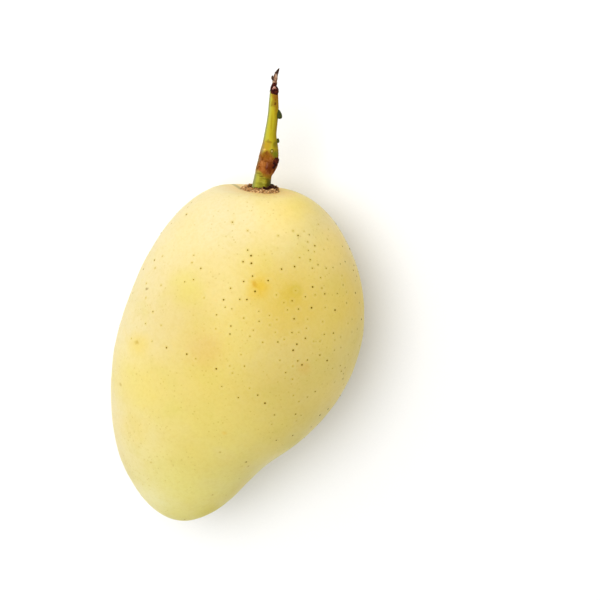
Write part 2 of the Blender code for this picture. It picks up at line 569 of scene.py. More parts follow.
@dataclass(frozen=True)
class Seat:
    """Where the stalk stands on the fruit, and the stalk's own directions."""

    middle: Vector
    outward: Vector

    @property
    def right(self) -> Vector:
        """The direction across the stalk, towards the fuller shoulder."""
        return self.outward.cross(UP)

    def point(self, right: float, up: float, out: float) -> Vector:
        """Returns the place that lies that far from the seat in the stalk's directions."""
        return self.middle + self.right * right + UP * up + self.outward * out

    def put(self, graph: Graph, right: Value, up: Value, out: Value) -> Socket:
        """Does the same as point in a node tree.

        Args:
            graph: The tree.
            right: How far right the place is.
            up: How far up it is.
            out: How far outward it is.

        Returns:
            The place.
        """
        place = graph.vector("ADD", self.middle, graph.scaled(self.right, right))
        place = graph.vector("ADD", place, graph.scaled(UP, up))
        return graph.vector("ADD", place, graph.scaled(self.outward, out))

    def read(self, graph: Graph, place: Value) -> tuple[Socket, Socket, Socket]:
        """Returns how far right, up and outward of the seat a place in a node tree is."""
        away = graph.vector("SUBTRACT", place, self.middle)
        return tuple(graph.vector("DOT_PRODUCT", away, axis) for axis in (self.right, UP, self.outward))

    def streaks(self, graph: PieceTree | Finish, stretch: float, size: Value, *layers: float) -> Socket:
        """Returns soft noise that is drawn out along the stalk.

        Args:
            graph: The node tree.
            stretch: How much of the distance along the stalk the noise sees.
            size: About how far apart its streaks are.
            layers: The noise's detail, rough and bend.

        Returns:
            The noise's value.
        """
        right, up, out = self.read(graph, graph.place)
        return graph.noise(graph.join(right, up, graph.math("MULTIPLY", out, stretch)), size, *layers)


@dataclass(frozen=True)
class Girdle:
    """The fruit's outline at its mid-height, from the seat and clockwise seen from above."""

    points: list[Vector]
    outward: Vector
    tip_share: float

    @classmethod
    def of_frame(
        cls, lean: float = math.radians(7.5), slack: float = 0.01 * MM, gap: float = 1.0 * MM
    ) -> "Girdle":
        """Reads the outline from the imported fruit.

        Args:
            lean: How far the seat leans to the sloping shoulder.
            slack: How far off the widest level a corner may lie.
            gap: The least distance between the outline's points.

        Returns:
            The outline.
        """
        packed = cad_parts["fruit"].data.vertices
        corners = {tuple(round(c, 6) for c in vertex.co) for vertex in packed}
        level = max(corners)[2]
        ring = [Vector(c) for c in corners if abs(c[2] - level) < slack]
        outward = Vector((-math.sin(lean), math.cos(lean), 0))
        low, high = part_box("stem_collar")
        seat = (low + high) / 2
        seat += outward * max((point - seat).dot(outward) for point in ring)
        seat.z = level
        centre = sum(ring, Vector()) / len(ring)
        start = math.atan2(seat.y - centre.y, seat.x - centre.x)

        def clockwise(point: Vector) -> float:
            """Returns the angle from the seat clockwise round to a point."""
            return (start - math.atan2(point.y - centre.y, point.x - centre.x)) % (2 * math.pi)

        kept = [seat]
        for point in sorted(ring, key=clockwise):
            if min((point - other).length for other in (seat, kept[-1])) > gap:
                kept.append(point)
        sides = [(b - a).length for a, b in zip(kept, kept[1:] + kept[:1])]
        tip = min(range(len(kept)), key=lambda i: kept[i].y)
        return cls(kept, outward, sum(sides[:tip]) / sum(sides))


# ------------------------------------------------------------------ the fruit


@dataclass(frozen=True)
class BlushAndPaintedLight:
    """A soft patch of another colour on the upper cheek, placed from the middle of the rest; most are the
    skin's own tints, some are painted highlight, shade and bounce light.
    """

    x_mm: float
    y_mm: float
    reach_mm: float
    shade: str
    strength: float
    cover: Cover = Cover.STAIN
    full: float = 0.1  # the inner share of its reach where it is at its strongest

    @property
    def wash(self) -> Wash:
        """The patch's colour, which comes in towards its middle."""
        reach = self.reach_mm * MM
        return Wash(self.shade, reach, self.full * reach, self.strength, self.cover)


@dataclass(frozen=True)
class Peel:
    """The finish of the ripe skin: pale yellow, softly mottled, a little greener at the tip, with painted
    sheen, shade and bounce light.
    """

    tip: str = "E2D880"
    middle: str = "D9C56C"
    # the shoulder's creamier colour is partly the skin's own and partly painted highlight from the light on
    # the upper left
    shoulder: str = "DCCA8C"
    tip_length: float = 4.0 * MM
    shoulder_length: float = 6.0 * MM
    wander: float = 30.0 * MM  # how far the colours along the fruit wander
    broad: Soft = Soft(26.0 * MM, 3.0, 0.55)
    patchy: Soft = Soft(11.0 * MM, 3.0, 0.5, 0.2)
    mottled: Soft = Soft(1.6 * MM, 2.0, 0.55)
    grain: Soft = Soft(2.4 * MM, 3.0, 0.6)
    fine_grain: Soft = Soft(0.9 * MM, 3.0, 0.6)
    grain_share: float = 1.6  # how much stronger the grain's relief is than the fine grain's
    speck_size: float = 1.5 * MM
    pit_size: float = 1.0 * MM
    # painted sheen: pale cream laid over the leaner flank, the side that the bright sky lights
    lit_flank_sheen: Wash = Wash("DCCE9E", -6.0 * MM, -37.0 * MM, 0.85)
    gold: Wash = Wash("D8B84A", 0.50, 0.72, 0.12)
    lime: Wash = Wash("CDC05A", 0.50, 0.72, 0.20)
    cream: Wash = Wash("DCCE9E", 0.50, 0.28, 0.12)
    # painted shade: an olive darkening towards the tip, standing for a shadow close under it
    tip_shade: Wash = Wash("F6F0A2", 12.0 * MM, 1.0 * MM, 0.40, Cover.STAIN)
    shoulder_only: Fade = Fade(-26.0 * MM, -12.0 * MM)
    # painted shade: a dark olive line along the crease beside the collar
    crease_shade: Wash = Wash("8A8636", 1.05 * MM, 0.30 * MM)
    fold_right: float = -7.6 * MM
    fold_up: float = -3.0 * MM
    fold_across: tuple[float, float] = (0.95, -0.32)
    fold_ends: Fade = Fade(7.2 * MM, 4.6 * MM, 0.0, 0.75)
    by_stalk: Wash = Wash("FFEDC8", 14.0 * MM, 7.4 * MM, 0.85, Cover.STAIN)
    specks: Wash = Wash("B49420", 0.23, 0.10, 0.34)
    speckled: Fade = Fade(0.42, 0.58)
    dot_halo: Wash = Wash("DCCE9E", 1.10 * MM, 0.50 * MM, 0.12)
    dot_ring: Wash = Wash("CCB026", 0.65 * MM, 0.25 * MM, 0.30)
    fine: Wash = Wash("F4F0DA", 0.35, 0.70, 0.18, Cover.STAIN)
    pits: Wash = Wash("E9E2B8", 0.42, 0.10, 0.12, Cover.STAIN)
    mottle: Wash = Wash("F1E8BC", 0.46, 0.66, 0.14, Cover.STAIN)
    roughness: Fade = Fade(0.2, 0.8, 0.40, 0.52)
    relief: float = 0.06 * MM
    blush_drift_size: float = 6.0 * MM
    blush_drift: float = 2.0 * MM
    upper_cheek: Fade = Fade(-9.0 * MM, 3.0 * MM)  # counted from the girdle's height
    blushes_and_painted_light: tuple[BlushAndPaintedLight, ...] = (
        # painted highlight: pale cream on the upper shoulder, towards the light
        BlushAndPaintedLight(-15.0, 40.0, 13.0, "DED2AC", 0.50, Cover.HIDE),
        BlushAndPaintedLight(-5.5, 43.5, 9.0, "E6D6A6", 0.55, Cover.HIDE),
        # painted light: clear yellow laid where the collar's rim shades the skin
        BlushAndPaintedLight(3.0, 46.0, 12.0, "EAD488", 0.70, Cover.HIDE),
        # painted bounce light: warmer, brighter yellow along the fuller flank, as if lit by a yellow surface
        # on that side
        BlushAndPaintedLight(35.0, 24.0, 15.0, "E0C660", 0.50, Cover.HIDE),
        BlushAndPaintedLight(32.0, -6.0, 11.0, "E8D078", 0.50, Cover.HIDE),
        BlushAndPaintedLight(18.0, -32.0, 9.0, "E8D884", 0.50, Cover.HIDE),
        # painted sheen: pale cream on the leaner edge near the tip
        BlushAndPaintedLight(-20.0, -58.0, 14.0, "ECE6B8", 0.50, Cover.HIDE),
        # painted shade: olive darkening at the tip's edge
        BlushAndPaintedLight(3.0, -59.0, 9.0, "F2EC80", 0.95),
        BlushAndPaintedLight(14.0, 37.0, 12.0, "FFFEEC", 0.80),
        BlushAndPaintedLight(0.0, 31.0, 10.0, "FFFDE4", 0.90),
        BlushAndPaintedLight(-20.0, 8.0, 24.0, "F7F3EC", 0.90),
        BlushAndPaintedLight(24.0, 24.0, 24.0, "FDF6C8", 0.90),
        BlushAndPaintedLight(7.5, 21.5, 18.0, "F5ECB8", 0.90),
        BlushAndPaintedLight(13.0, 1.0, 22.0, "F6F4FC", 0.90),
        BlushAndPaintedLight(22.0, 40.0, 10.0, "EACC6C", 0.40, Cover.HIDE),
        BlushAndPaintedLight(-31.5, -3.5, 6.0, "FFF8C4", 0.80),
        BlushAndPaintedLight(1.4, 24.3, 5.2, "FFF090", 0.90),
        BlushAndPaintedLight(-0.3, 24.9, 1.4, "ECD068", 0.65),
        BlushAndPaintedLight(13.0, 25.5, 2.6, "EEF094", 0.40),
        BlushAndPaintedLight(11.5, 23.5, 4.8, "F7F4B0", 0.50),
        BlushAndPaintedLight(-10.0, 2.1, 9.0, "FBF0F0", 0.75),
        BlushAndPaintedLight(20.5, 2.6, 3.2, "FCE8CC", 0.55),
        BlushAndPaintedLight(-19.8, 18.6, 8.5, "FCFFD2", 0.80),
        BlushAndPaintedLight(-15.6, -19.5, 6.5, "F8FFE8", 0.35),
        BlushAndPaintedLight(0.9, -22.9, 1.5, "FFECC0", 0.60),
        BlushAndPaintedLight(9.0, 50.0, 10.0, "FFFCCC", 0.90),
        BlushAndPaintedLight(-31.9, -3.3, 1.1, "D8C880", 0.70),
        BlushAndPaintedLight(-32.4, 13.8, 0.6, "A89860", 0.80),
        BlushAndPaintedLight(-34.9, -18.9, 0.9, "D8C880", 0.70),
        BlushAndPaintedLight(-29.0, -16.0, 17.0, "FEFBD0", 0.95),
        BlushAndPaintedLight(-28.0, -31.0, 8.0, "FFFAE0", 0.80),
    )

    def make(self, tip_y: float, seat: Seat) -> Material:
        """Builds the material.

        Args:
            tip_y: Where the fruit's tip is.
            seat: Where the stalk stands, at the girdle's height.

        Returns:
            The material.
        """
        skin = Finish(
            "mango_peel",
            IOR=1.31,
            Subsurface_Weight=0.22,
            Subsurface_Scale=0.004,
            Subsurface_Radius=(1.0, 0.7, 0.25),
            Sheen_Weight=0.02,
            Sheen_Roughness=0.40,
            Sheen_Tint=colour("FFF8EC"),
            Specular_Tint=colour("FFF0C4"),
        )
        x, y, z = skin.split(skin.place)
        broad, patchy, fine = skin.soft(self.broad), skin.soft(self.patchy), skin.soft(self.fine_grain)
        along = skin.math("MULTIPLY_ADD", skin.centred(broad), self.wander, y)
        half_way = (tip_y + seat.middle.y) / 2
        to_middle = Wash(self.middle, tip_y + self.tip_length, half_way)
        to_shoulder = Wash(self.shoulder, half_way, seat.middle.y - self.shoulder_length)
        base = skin.layers(
            colour(self.tip),
            (to_middle, along),
            (to_shoulder, along),
            (self.lit_flank_sheen, x),
            (self.gold, broad),
            (self.lime, patchy),
            (self.cream, patchy),
        )
        base = self.blushed_and_lit(skin, base, skin.fade(z, self.upper_cheek.after(seat.middle.z)))
        base = skin.lay(base, self.tip_shade, skin.math("SUBTRACT", y, tip_y))
        base = self.by_the_collar(skin, base, seat)
        specks = skin.cells(skin.place, self.speck_size)
        base = skin.lay(base, self.specks, specks, skin.fade(patchy, self.speckled))
        to_dot = skin.stored("dot_distance")
        base = skin.layers(
            base,
            (self.dot_halo, to_dot),
            (self.dot_ring, to_dot),
            (self.fine, fine),
            (self.pits, skin.cells(skin.place, self.pit_size)),
            (self.mottle, skin.soft(self.mottled)),
        )
        height = skin.math("MULTIPLY_ADD", skin.soft(self.grain), self.grain_share, fine)
        return skin.dress(base, skin.fade(patchy, self.roughness), height, self.relief)

    def blushed_and_lit(self, skin: Finish, base: Socket, upper: Socket) -> Socket:
        """Lays the skin's tints and the patches of painted light and shade.

        Args:
            skin: The finish that is being made.
            base: The colour under them.
            upper: How much of the upper cheek a place is.

        Returns:
            The colour on top.
        """
        moved = skin.drift(skin.place, self.blush_drift_size, self.blush_drift)
        flat = skin.vector("MULTIPLY", moved, (1, 1, 0))
        for cheek_patch in self.blushes_and_painted_light:
            near = skin.vector("DISTANCE", flat, (cheek_patch.x_mm * MM, cheek_patch.y_mm * MM, 0))
            base = skin.lay(base, cheek_patch.wash, near, upper)
        return base

    def by_the_collar(self, skin: Finish, base: Socket, seat: Seat) -> Socket:
        """Lays what is close to the stalk: painted shade along the crease beside the collar, and a warmer
        ring round it.

        Args:
            skin: The finish that is being made.
            base: The colour under them.
            seat: Where the stalk stands.

        Returns:
            The colour on top.
        """
        right, up, out = seat.read(skin, skin.place)
        shoulder = skin.fade(out, self.shoulder_only)
        aside = skin.math("SUBTRACT", right, self.fold_right)
        above = skin.math("SUBTRACT", up, self.fold_up)
        across_right, across_up = self.fold_across
        off_fold = skin.math("MULTIPLY_ADD", above, across_up, skin.product(aside, across_right))
        in_fold = skin.fade(skin.vector("LENGTH", skin.join(aside, above, 0.0)), self.fold_ends)
        base = skin.lay(base, self.crease_shade, skin.math("ABSOLUTE", off_fold), in_fold, shoulder)
        from_stalk = skin.vector("LENGTH", skin.join(right, up, 0.0))
        return skin.lay(base, self.by_stalk, from_stalk, shoulder)


@dataclass(frozen=True)
class Pore:
    """The finish of the breathing dots: olive brown, from dark to nearly as pale as the skin."""

    dark: str = "705804"
    faint: Wash = Wash("B0942A", 0.25, 0.85)
    speckles: Wash = Wash("7A6730", 0.45, 0.70, 0.30)
    speckled: Soft = Soft(0.2 * MM)
    roughness: Fade = Fade(0.2, 0.8, 0.6, 0.8)
    relief: float = 0.02 * MM

    def make(self) -> Material:
        """Builds the material, which reads each dot's own tone.

        Returns:
            The material.
        """
        dot = Finish("breathing_dot", Specular_IOR_Level=0.0)
        speckle = dot.soft(self.speckled)
        base = dot.layers(colour(self.dark), (self.faint, dot.stored("tone")), (self.speckles, speckle))
        return dot.dress(base, dot.fade(speckle, self.roughness), speckle, self.relief)


@dataclass
class Fruit:
    """The whole fruit: an oval swept on chords across its girdle, with its skin and breathing dots."""

    girdle: Girdle
    seat: Seat
    side_points: int = 121
    outline_steps: int = 16
    half_thickness: float = 33.4 * MM
    end_roundness: float = 46.0 * MM
    end_sharpness: float = 1.5
    thickest_shift: float = 0.94
    back_fullness: float = 0.04
    cheek_power: float = 2.12
    rest_rim: float = 0.15 * MM
    dent_size: float = 24.0 * MM
    dent_height: float = 0.9 * MM
    lump_size: float = 8.0 * MM
    lump_height: float = 0.16 * MM
    grain_size: float = 1.7 * MM
    grain_height: float = 0.05 * MM
    calm: Fade = Fade(6.0 * MM, 14.0 * MM)  # how the relief comes in away from the seat
    lip_height: float = 0.12 * MM
    lip_inside: Fade = Fade(5.6 * MM, 7.4 * MM)
    lip_outside: Fade = Fade(12.0 * MM, 8.0 * MM)

    def oval(self, tree: PieceTree) -> Socket:
        """Makes the smooth body.

        Args:
            tree: The tree, whose incoming geometry is the girdle.

        Returns:
            The closed mesh.
        """
        cube, direction = tree.ball(tree.size("Side Points", self.side_points))
        nx, ny, nz = tree.split(direction)
        share = tree.math("DIVIDE", tree.math("ARCCOSINE", ny), math.pi)
        aside = tree.math("MAXIMUM", tree.vector("LENGTH", tree.join(nx, 0.0, nz)), 1e-6)
        power = tree.math("DIVIDE", 2.0, tree.size("Cheek Power", self.cheek_power))

        def rounded(value: Socket) -> Socket:
            """Reshapes a sine or cosine for the oval across the fruit.

            Args:
                value: The sine or cosine.

            Returns:
                The reshaped value.
            """
            ratio = tree.math("DIVIDE", value, aside)
            size = tree.math("POWER", tree.math("ABSOLUTE", ratio), power)
            return tree.product(tree.math("SIGN", ratio), size)

        middle, reach = self.chord(tree, share)
        shifted = tree.math("POWER", share, tree.size("Thickest Shift", self.thickest_shift))
        swelling = tree.math("SINE", tree.math("MULTIPLY", shifted, math.pi))
        half = tree.size("Half Thickness", self.half_thickness)
        sharpness = tree.size("End Sharpness", self.end_sharpness)
        ends = tree.math("POWER", tree.math("SUBTRACT", 1.0, swelling), sharpness)
        more = tree.math("SUBTRACT", tree.size("End Roundness", self.end_roundness), half)
        thick = tree.product(swelling, tree.math("MULTIPLY_ADD", more, ends, half))
        across, up = rounded(nx), rounded(nz)
        fuller = tree.math("MULTIPLY_ADD", across, tree.size("Back Fullness", self.back_fullness), 1.0)
        height = tree.product(thick, up, fuller)
        place = tree.vector("ADD", middle, tree.scaled(reach, across))
        return tree.put(cube, tree.vector("ADD", place, tree.join(0.0, 0.0, height)))

    def chord(self, tree: PieceTree, share: Socket) -> tuple[Socket, Socket]:
        """Lays a chord across the girdle at each share of the way from the seat to the tip.

        Args:
            tree: The tree, whose incoming geometry is the girdle.
            share: The share of the way.

        Returns:
            The chord's middle, and the vector from there to its end on the fuller flank.
        """
        smooth = tree.out("GeometryNodeCurveSplineType", {"Curve": tree.given}, spline_type="CATMULL_ROM")
        steps = {"Geometry": smooth, "Resolution": self.outline_steps}
        smooth = tree.out("GeometryNodeSetSplineResolution", steps)
        tip = tree.size("Tip Share", self.girdle.tip_share)
        back = tree.math("SUBTRACT", 1.0, tree.product(share, tree.math("SUBTRACT", 1.0, tip)))
        samples = [
            tree.node("GeometryNodeSampleCurve", {"Curves": smooth, "Factor": at}, mode="FACTOR")
            for at in (tree.product(share, tip), back)
        ]
        flanks = [sample.outputs["Position"] for sample in samples]
        middle = tree.scaled(tree.vector("ADD", *flanks), 0.5)
        return middle, tree.scaled(tree.vector("SUBTRACT", *flanks), 0.5)

    def weathered(self, tree: PieceTree, body: Socket) -> Socket:
        """Gives the smooth body its dents, lumps and grain, and the lip round the collar.

        Args:
            tree: The tree.
            body: The smooth body.

        Returns:
            The uneven body.
        """
        dents = tree.relief("Dent", self.dent_size, self.dent_height)
        lumps = tree.relief("Lump", self.lump_size, self.lump_height)
        grain = tree.relief("Grain", self.grain_size, self.grain_height)
        away = tree.vector("DISTANCE", tree.place, tree.size("Seat", self.seat.middle))
        lip = tree.product(tree.fade(away, self.lip_inside), tree.fade(away, self.lip_outside))
        uneven = tree.math("ADD", dents, tree.math("ADD", lumps, grain))
        relief = tree.product(uneven, tree.fade(away, self.calm))
        lifted = tree.math("MULTIPLY_ADD", lip, tree.size("Lip Height", self.lip_height), relief)
        return tree.swell(body, lifted)

    def pressed(self, tree: PieceTree, body: Socket) -> Socket:
        """Presses what lies under the floor flat on to it, with a rounded rim.

        Args:
            tree: The tree.
            body: The body as it grew.

        Returns:
            The body at rest.
        """
        rim = tree.size("Rest Rim", self.rest_rim)
        x, y, z = tree.split(tree.place)
        lifted = tree.math("MAXIMUM", tree.math("ADD", z, rim), 0.0)
        near = tree.math("MINIMUM", lifted, tree.math("MULTIPLY", rim, 2.0))
        bend = tree.math("DIVIDE", tree.product(near, near), tree.math("MULTIPLY", rim, 4.0))
        above = tree.math("MAXIMUM", tree.math("SUBTRACT", z, rim), 0.0)
        return tree.put(body, tree.join(x, y, tree.math("ADD", bend, above)))

    def build_body(self, peel: Material) -> Object:
        """Makes the body as a bare object, for the dots to be strewn on.

        Args:
            peel: The skin's finish.

        Returns:
            The bare object.
        """
        tree = PieceTree("fruit_body")
        body = self.pressed(tree, self.weathered(tree, self.oval(tree)))
        outline = add_path("girdle", self.girdle.points, [1.0] * len(self.girdle.points), closed=True)
        return add_object("bare_fruit", tree.make(body, peel, outline))

    def build(self) -> None:
        """Makes the skin and the breathing dots on it."""
        tip_y = min(point.y for point in self.girdle.points)
        peel = Peel().make(tip_y, self.seat)
        bare = self.build_body(peel)
        dots = BreathingDots(self.seat, tip_y).build(bare)
        tree = PieceTree("fruit_halos")
        pores = {"Geometry": tree.other("Dots", dots)}
        near = tree.node("GeometryNodeProximity", pores, target_element="POINTS").outputs["Distance"]
        skin = tree.make(tree.store(tree.given, "dot_distance", near), peel, bare)
        add_piece("mango_skin", skin, Slot.SKIN, "fruit")


@dataclass
class BreathingDots:
    """The small dots strewn over the skin, closest on the fuller side and rare near both ends."""

    seat: Seat
    tip_y: float
    spacing: float = 2.0 * MM
    per_square_metre: float = 105000.0
    small: float = 0.15 * MM
    large: float = 0.315 * MM
    rarity: float = 2.2  # how much rarer the larger ones are
    flatness: float = 0.35
    segments: int = 8
    rings: int = 4
    darkest: float = 0.2
    palest: float = 1.2
    darker_when_large: float = 0.9
    clear_of_stalk: Fade = Fade(18.0 * MM, 26.0 * MM)
    clear_of_rest: Fade = Fade(6.0 * MM, 12.0 * MM)
    rare_at_tip: Fade = Fade(34.0 * MM, 66.0 * MM, 0.05)
    rare_on_leaner_side: Fade = Fade(-20.0 * MM, 14.0 * MM, 0.24)
    rare_on_fuller_rim: Fade = Fade(36.0 * MM, 26.0 * MM, 0.25)
    cluster_size: float = 14.0 * MM
    clusters: Fade = Fade(0.35, 0.60, 0.50)
    seed: int = 308

    def build(self, skin: Object) -> Object:
        """Strews the dots.

        Args:
            skin: The bare fruit on whose faces they stand.

        Returns:
            The dots' piece.
        """
        tree = PieceTree("breathing_dots")
        away = tree.vector("DISTANCE", tree.place, tree.size("Seat", self.seat.middle))
        x, y, z = tree.split(tree.place)
        sizes = {
            "Distance Min": tree.size("Spacing", self.spacing),
            "Density Max": tree.size("Density", self.per_square_metre),
            "Density Factor": tree.product(
                tree.fade(away, self.clear_of_stalk),
                tree.fade(z, self.clear_of_rest),
                tree.fade(y, self.rare_at_tip.after(self.tip_y)),
                tree.fade(x, self.rare_on_leaner_side),
                tree.fade(x, self.rare_on_fuller_rim),
                tree.fade(tree.noise(tree.place, self.cluster_size), self.clusters),
            ),
            "Seed": tree.size("Seed", self.seed),
        }
        shape = {"Segments": self.segments, "Rings": self.rings, "Radius": 1.0}
        dome = tree.out("GeometryNodeMeshUVSphere", shape)
        pick = tree.math("POWER", tree.random(0.0, 1.0, seed=3), self.rarity)
        radius = tree.math("MULTIPLY_ADD", pick, self.large - self.small, tree.size("Smallest", self.small))
        height = tree.math("MULTIPLY", radius, tree.size("Flatness", self.flatness))
        dots = tree.strew(tree.other("Skin", skin), dome, sizes, tree.join(radius, radius, height))
        darker = tree.math("MULTIPLY", pick, self.darker_when_large)
        tone = tree.math("SUBTRACT", tree.random(self.darkest, self.palest, seed=8), darker)
        mesh = tree.make(tree.store(dots, "tone", tone, "INSTANCE"), Pore().make())
        return add_piece("breathing_dots", mesh, Slot.SKIN)


# ------------------------------------------------------------------ the collar and the stalk


BARK_LUMPS = {"detail": 4.0, "rough": 0.6, "bend": 0.3}


@dataclass(frozen=True)
class Crust:
    """The finish of dry corky crust: orange brown, with darker cracks and crumbs."""

    name: str = "corky_crust"
    light: str = "DEB47C"
    middle: str = "9C6A34"
    dark: str = "2C0E04"
    lumpy: Soft = Soft(1.1 * MM, 4.0, 0.65, 0.6)
    gritty: Soft = Soft(0.35 * MM, 3.0, 0.6)
    crack_size: float = 0.9 * MM
    unevenness: float = 0.8  # how much the lumps change the mesh's own tone
    roughness: Fade = Fade(0.2, 0.8, 0.72, 0.95)
    relief: float = 0.06 * MM

    def make(self) -> Material:
        """Builds the material, which darkens where the mesh's own tone is low; on the collar that darkening
        is painted shade towards the hollow.

        Returns:
            The material.
        """
        crust = Finish(self.name, Specular_IOR_Level=0.1)
        lumps, grit = crust.soft(self.lumpy), crust.soft(self.gritty)
        cracks = crust.cells(crust.place, self.crack_size, "DISTANCE_TO_EDGE")
        tone = crust.math("MULTIPLY_ADD", crust.centred(lumps), self.unevenness, crust.stored("tone"))
        base = crust.layers(
            colour(self.middle),
            (Wash(self.light, 0.42, 0.64), lumps),
            (Wash(self.dark, 0.14, 0.0, 0.80), cracks),
            (Wash(self.light, 0.55, 0.75, 0.35), grit),
            (Wash(self.dark, 0.55, 0.15), tone),
        )
        return crust.dress(base, crust.fade(grit, self.roughness), grit, self.relief)


@dataclass
class Collar:
    """The corky collar in which the stalk stands, with a crumbly hollow round the stalk's foot, and painted
    shade on the crust towards that hollow.
    """

    seat: Seat
    side_points: int = 81
    radius: float = 6.5 * MM
    off_axis: float = -0.55 * MM  # how far right of the stalk its middle is
    hollow_off_axis: float = 0.7 * MM
    lip_height: float = 1.55 * MM
    edge_height: float = 0.30 * MM
    hollow: float = 0.45 * MM
    bank_inside: float = 0.46  # where the bank round the hollow rises, in shares of the radius
    bank_outside: float = 0.56
    slope: Fade = Fade(0.50, 1.10)
    sunk: float = 0.9 * MM
    rim: float = 0.30  # how much of its round edge climbs from its underside to its top
    tilt: float = 0.10  # how much the collar rises for each metre to the right
    lean: float = 0.05  # how much it rises for each metre downward
    upright: float = 1.12  # how much wider it is from top to bottom than across
    raggedness: float = 0.09
    rag_size: float = 0.35
    lump_size: float = 0.9 * MM
    lump_height: float = 0.50 * MM
    lump_level: float = 0.45
    exposed: Fade = Fade(-0.1 * MM, 0.3 * MM)
    # painted shade: the crust and its crumbs darken towards the hollow round the stalk's foot
    ring_hollow_shade: Fade = Fade(3.9 * MM, 5.2 * MM, 0.0, 0.65)
    crumb_hollow_shade: Fade = Fade(3.9 * MM, 5.2 * MM, -0.40, 0.30)
    crumb_size: float = 0.32 * MM
    crumb_spacing: float = 0.28 * MM
    crumb_scales: tuple[float, float] = (0.5, 1.5)
    crumb_tones: tuple[float, float] = (-0.05, 0.8)
    crumbs_per_square_metre: float = 1.6e6
    crumbs_clear_of_stalk: Fade = Fade(2.8 * MM, 3.3 * MM)
    crumbs_rare_outside: Fade = Fade(5.4 * MM, 4.0 * MM, 0.22)
    crumbs_above: Fade = Fade(0.1 * MM, 0.3 * MM)
    seed: int = 11

    def build(self) -> None:
        """Makes the crusty ring and its crumbs as one piece."""
        tree = PieceTree("stalk_collar")
        ring = self.lumpy(tree, self.ring(tree))
        right, up, out = self.seat.read(tree, tree.place)
        right = tree.math("SUBTRACT", right, tree.size("Hollow Off Axis", self.hollow_off_axis))
        aside = tree.vector("LENGTH", tree.join(right, up, 0.0))
        ring = tree.store(ring, "tone", tree.fade(aside, self.ring_hollow_shade))
        whole = tree.together(ring, self.crumbs(tree, ring, aside, out))
        add_piece("stalk_collar", tree.make(whole, Crust().make()), Slot.CORK, "stem_collar")

    def ring(self, tree: PieceTree) -> Socket:
        """Makes the smooth ring.

        Args:
            tree: The collar's tree.

        Returns:
            The closed mesh.
        """
        cube, direction = tree.ball(tree.size("Side Points", self.side_points))
        nx, ny, nz = tree.split(direction)
        radius = tree.size("Radius", self.radius)
        from_middle = tree.vector("LENGTH", tree.join(nx, ny, 0.0))
        ragged = tree.centred(tree.noise(direction, self.rag_size, detail=3.0))
        outer = tree.math("MULTIPLY_ADD", ragged, tree.size("Raggedness", 2 * self.raggedness), 1.0)
        outer = tree.product(outer, radius)
        lip = tree.size("Lip Height", self.lip_height)
        hollow = tree.size("Hollow", self.hollow)
        rising = tree.ramp(from_middle, self.bank_inside, self.bank_outside, hollow, lip)
        lost = tree.math("SUBTRACT", lip, tree.size("Edge Height", self.edge_height))
        raised = tree.product(nx, outer, tree.size("Tilt", self.tilt))
        raised = tree.math("ADD", raised, tree.product(ny, outer, tree.size("Lean", self.lean)))
        sloping = tree.product(tree.fade(from_middle, self.slope), lost)
        top = tree.math("ADD", raised, tree.math("SUBTRACT", rising, sloping))
        under = tree.math("MULTIPLY", tree.size("Sunk", self.sunk), -1.0)
        level = tree.ramp(nz, 0.0, self.rim, under, top)
        up = tree.product(ny, outer, tree.size("Upright", self.upright), -1.0)
        across = tree.math("MULTIPLY_ADD", nx, outer, tree.size("Off Axis", self.off_axis))
        return tree.put(cube, self.seat.put(tree, across, up, level))

    def lumpy(self, tree: PieceTree, ring: Socket) -> Socket:
        """Gives the smooth ring its crusty lumps.

        Args:
            tree: The collar's tree.
            ring: The smooth ring.

        Returns:
            The crusty ring.
        """
        _, _, out = self.seat.read(tree, tree.place)
        size = tree.size("Lump Size", self.lump_size)
        lumps = tree.math("SUBTRACT", self.lump_level, tree.cells(tree.place, size))
        lumps = tree.math("ADD", lumps, tree.centred(tree.noise(tree.place, size, detail=3.0)))
        height = tree.size("Lump Height", self.lump_height)
        return tree.swell(ring, tree.product(lumps, tree.fade(out, self.exposed), height))

    def crumbs(self, tree: PieceTree, ring: Socket, aside: Socket, out: Socket) -> Socket:
        """Strews crumbs on the ring, most of them in the hollow.

        Args:
            tree: The collar's tree.
            ring: The ring's mesh.
            aside: How far from the hollow's axis a point is.
            out: How far outward of the seat it is.

        Returns:
            The crumbs as instances.
        """
        sizes = {
            "Distance Min": self.crumb_spacing,
            "Density Max": tree.size("Crumb Density", self.crumbs_per_square_metre),
            "Density Factor": tree.product(
                tree.fade(aside, self.crumbs_clear_of_stalk),
                tree.fade(aside, self.crumbs_rare_outside),
                tree.fade(out, self.crumbs_above),
            ),
            "Seed": tree.size("Seed", self.seed),
        }
        size = tree.size("Crumb Size", self.crumb_size)
        crumb = tree.out("GeometryNodeMeshIcoSphere", {"Radius": size, "Subdivisions": 1})
        long, wide, high = (tree.random(*self.crumb_scales, seed=seed) for seed in (1, 2, 4))
        crumbs = tree.strew(ring, crumb, sizes, tree.join(long, wide, high))
        right, up, _ = self.seat.read(tree, tree.place)
        right = tree.math("SUBTRACT", right, self.hollow_off_axis)
        here = tree.vector("LENGTH", tree.join(right, up, 0.0))
        tone = tree.math("ADD", tree.fade(here, self.crumb_hollow_shade), tree.random(*self.crumb_tones, seed=6))
        return tree.store(crumbs, "tone", tone, "INSTANCE")


@dataclass(frozen=True)
class Knot:
    """One place along a shoot: how far outward of the seat, right and up it is, and its radius."""

    out_mm: float
    right_mm: float
    up_mm: float
    radius_mm: float

    def towards(self, other: "Knot", share: float) -> "Knot":
        """Returns the knot that lies a share of the way to another."""
        return Knot(*(a + (b - a) * share for a, b in zip(astuple(self), astuple(other))))


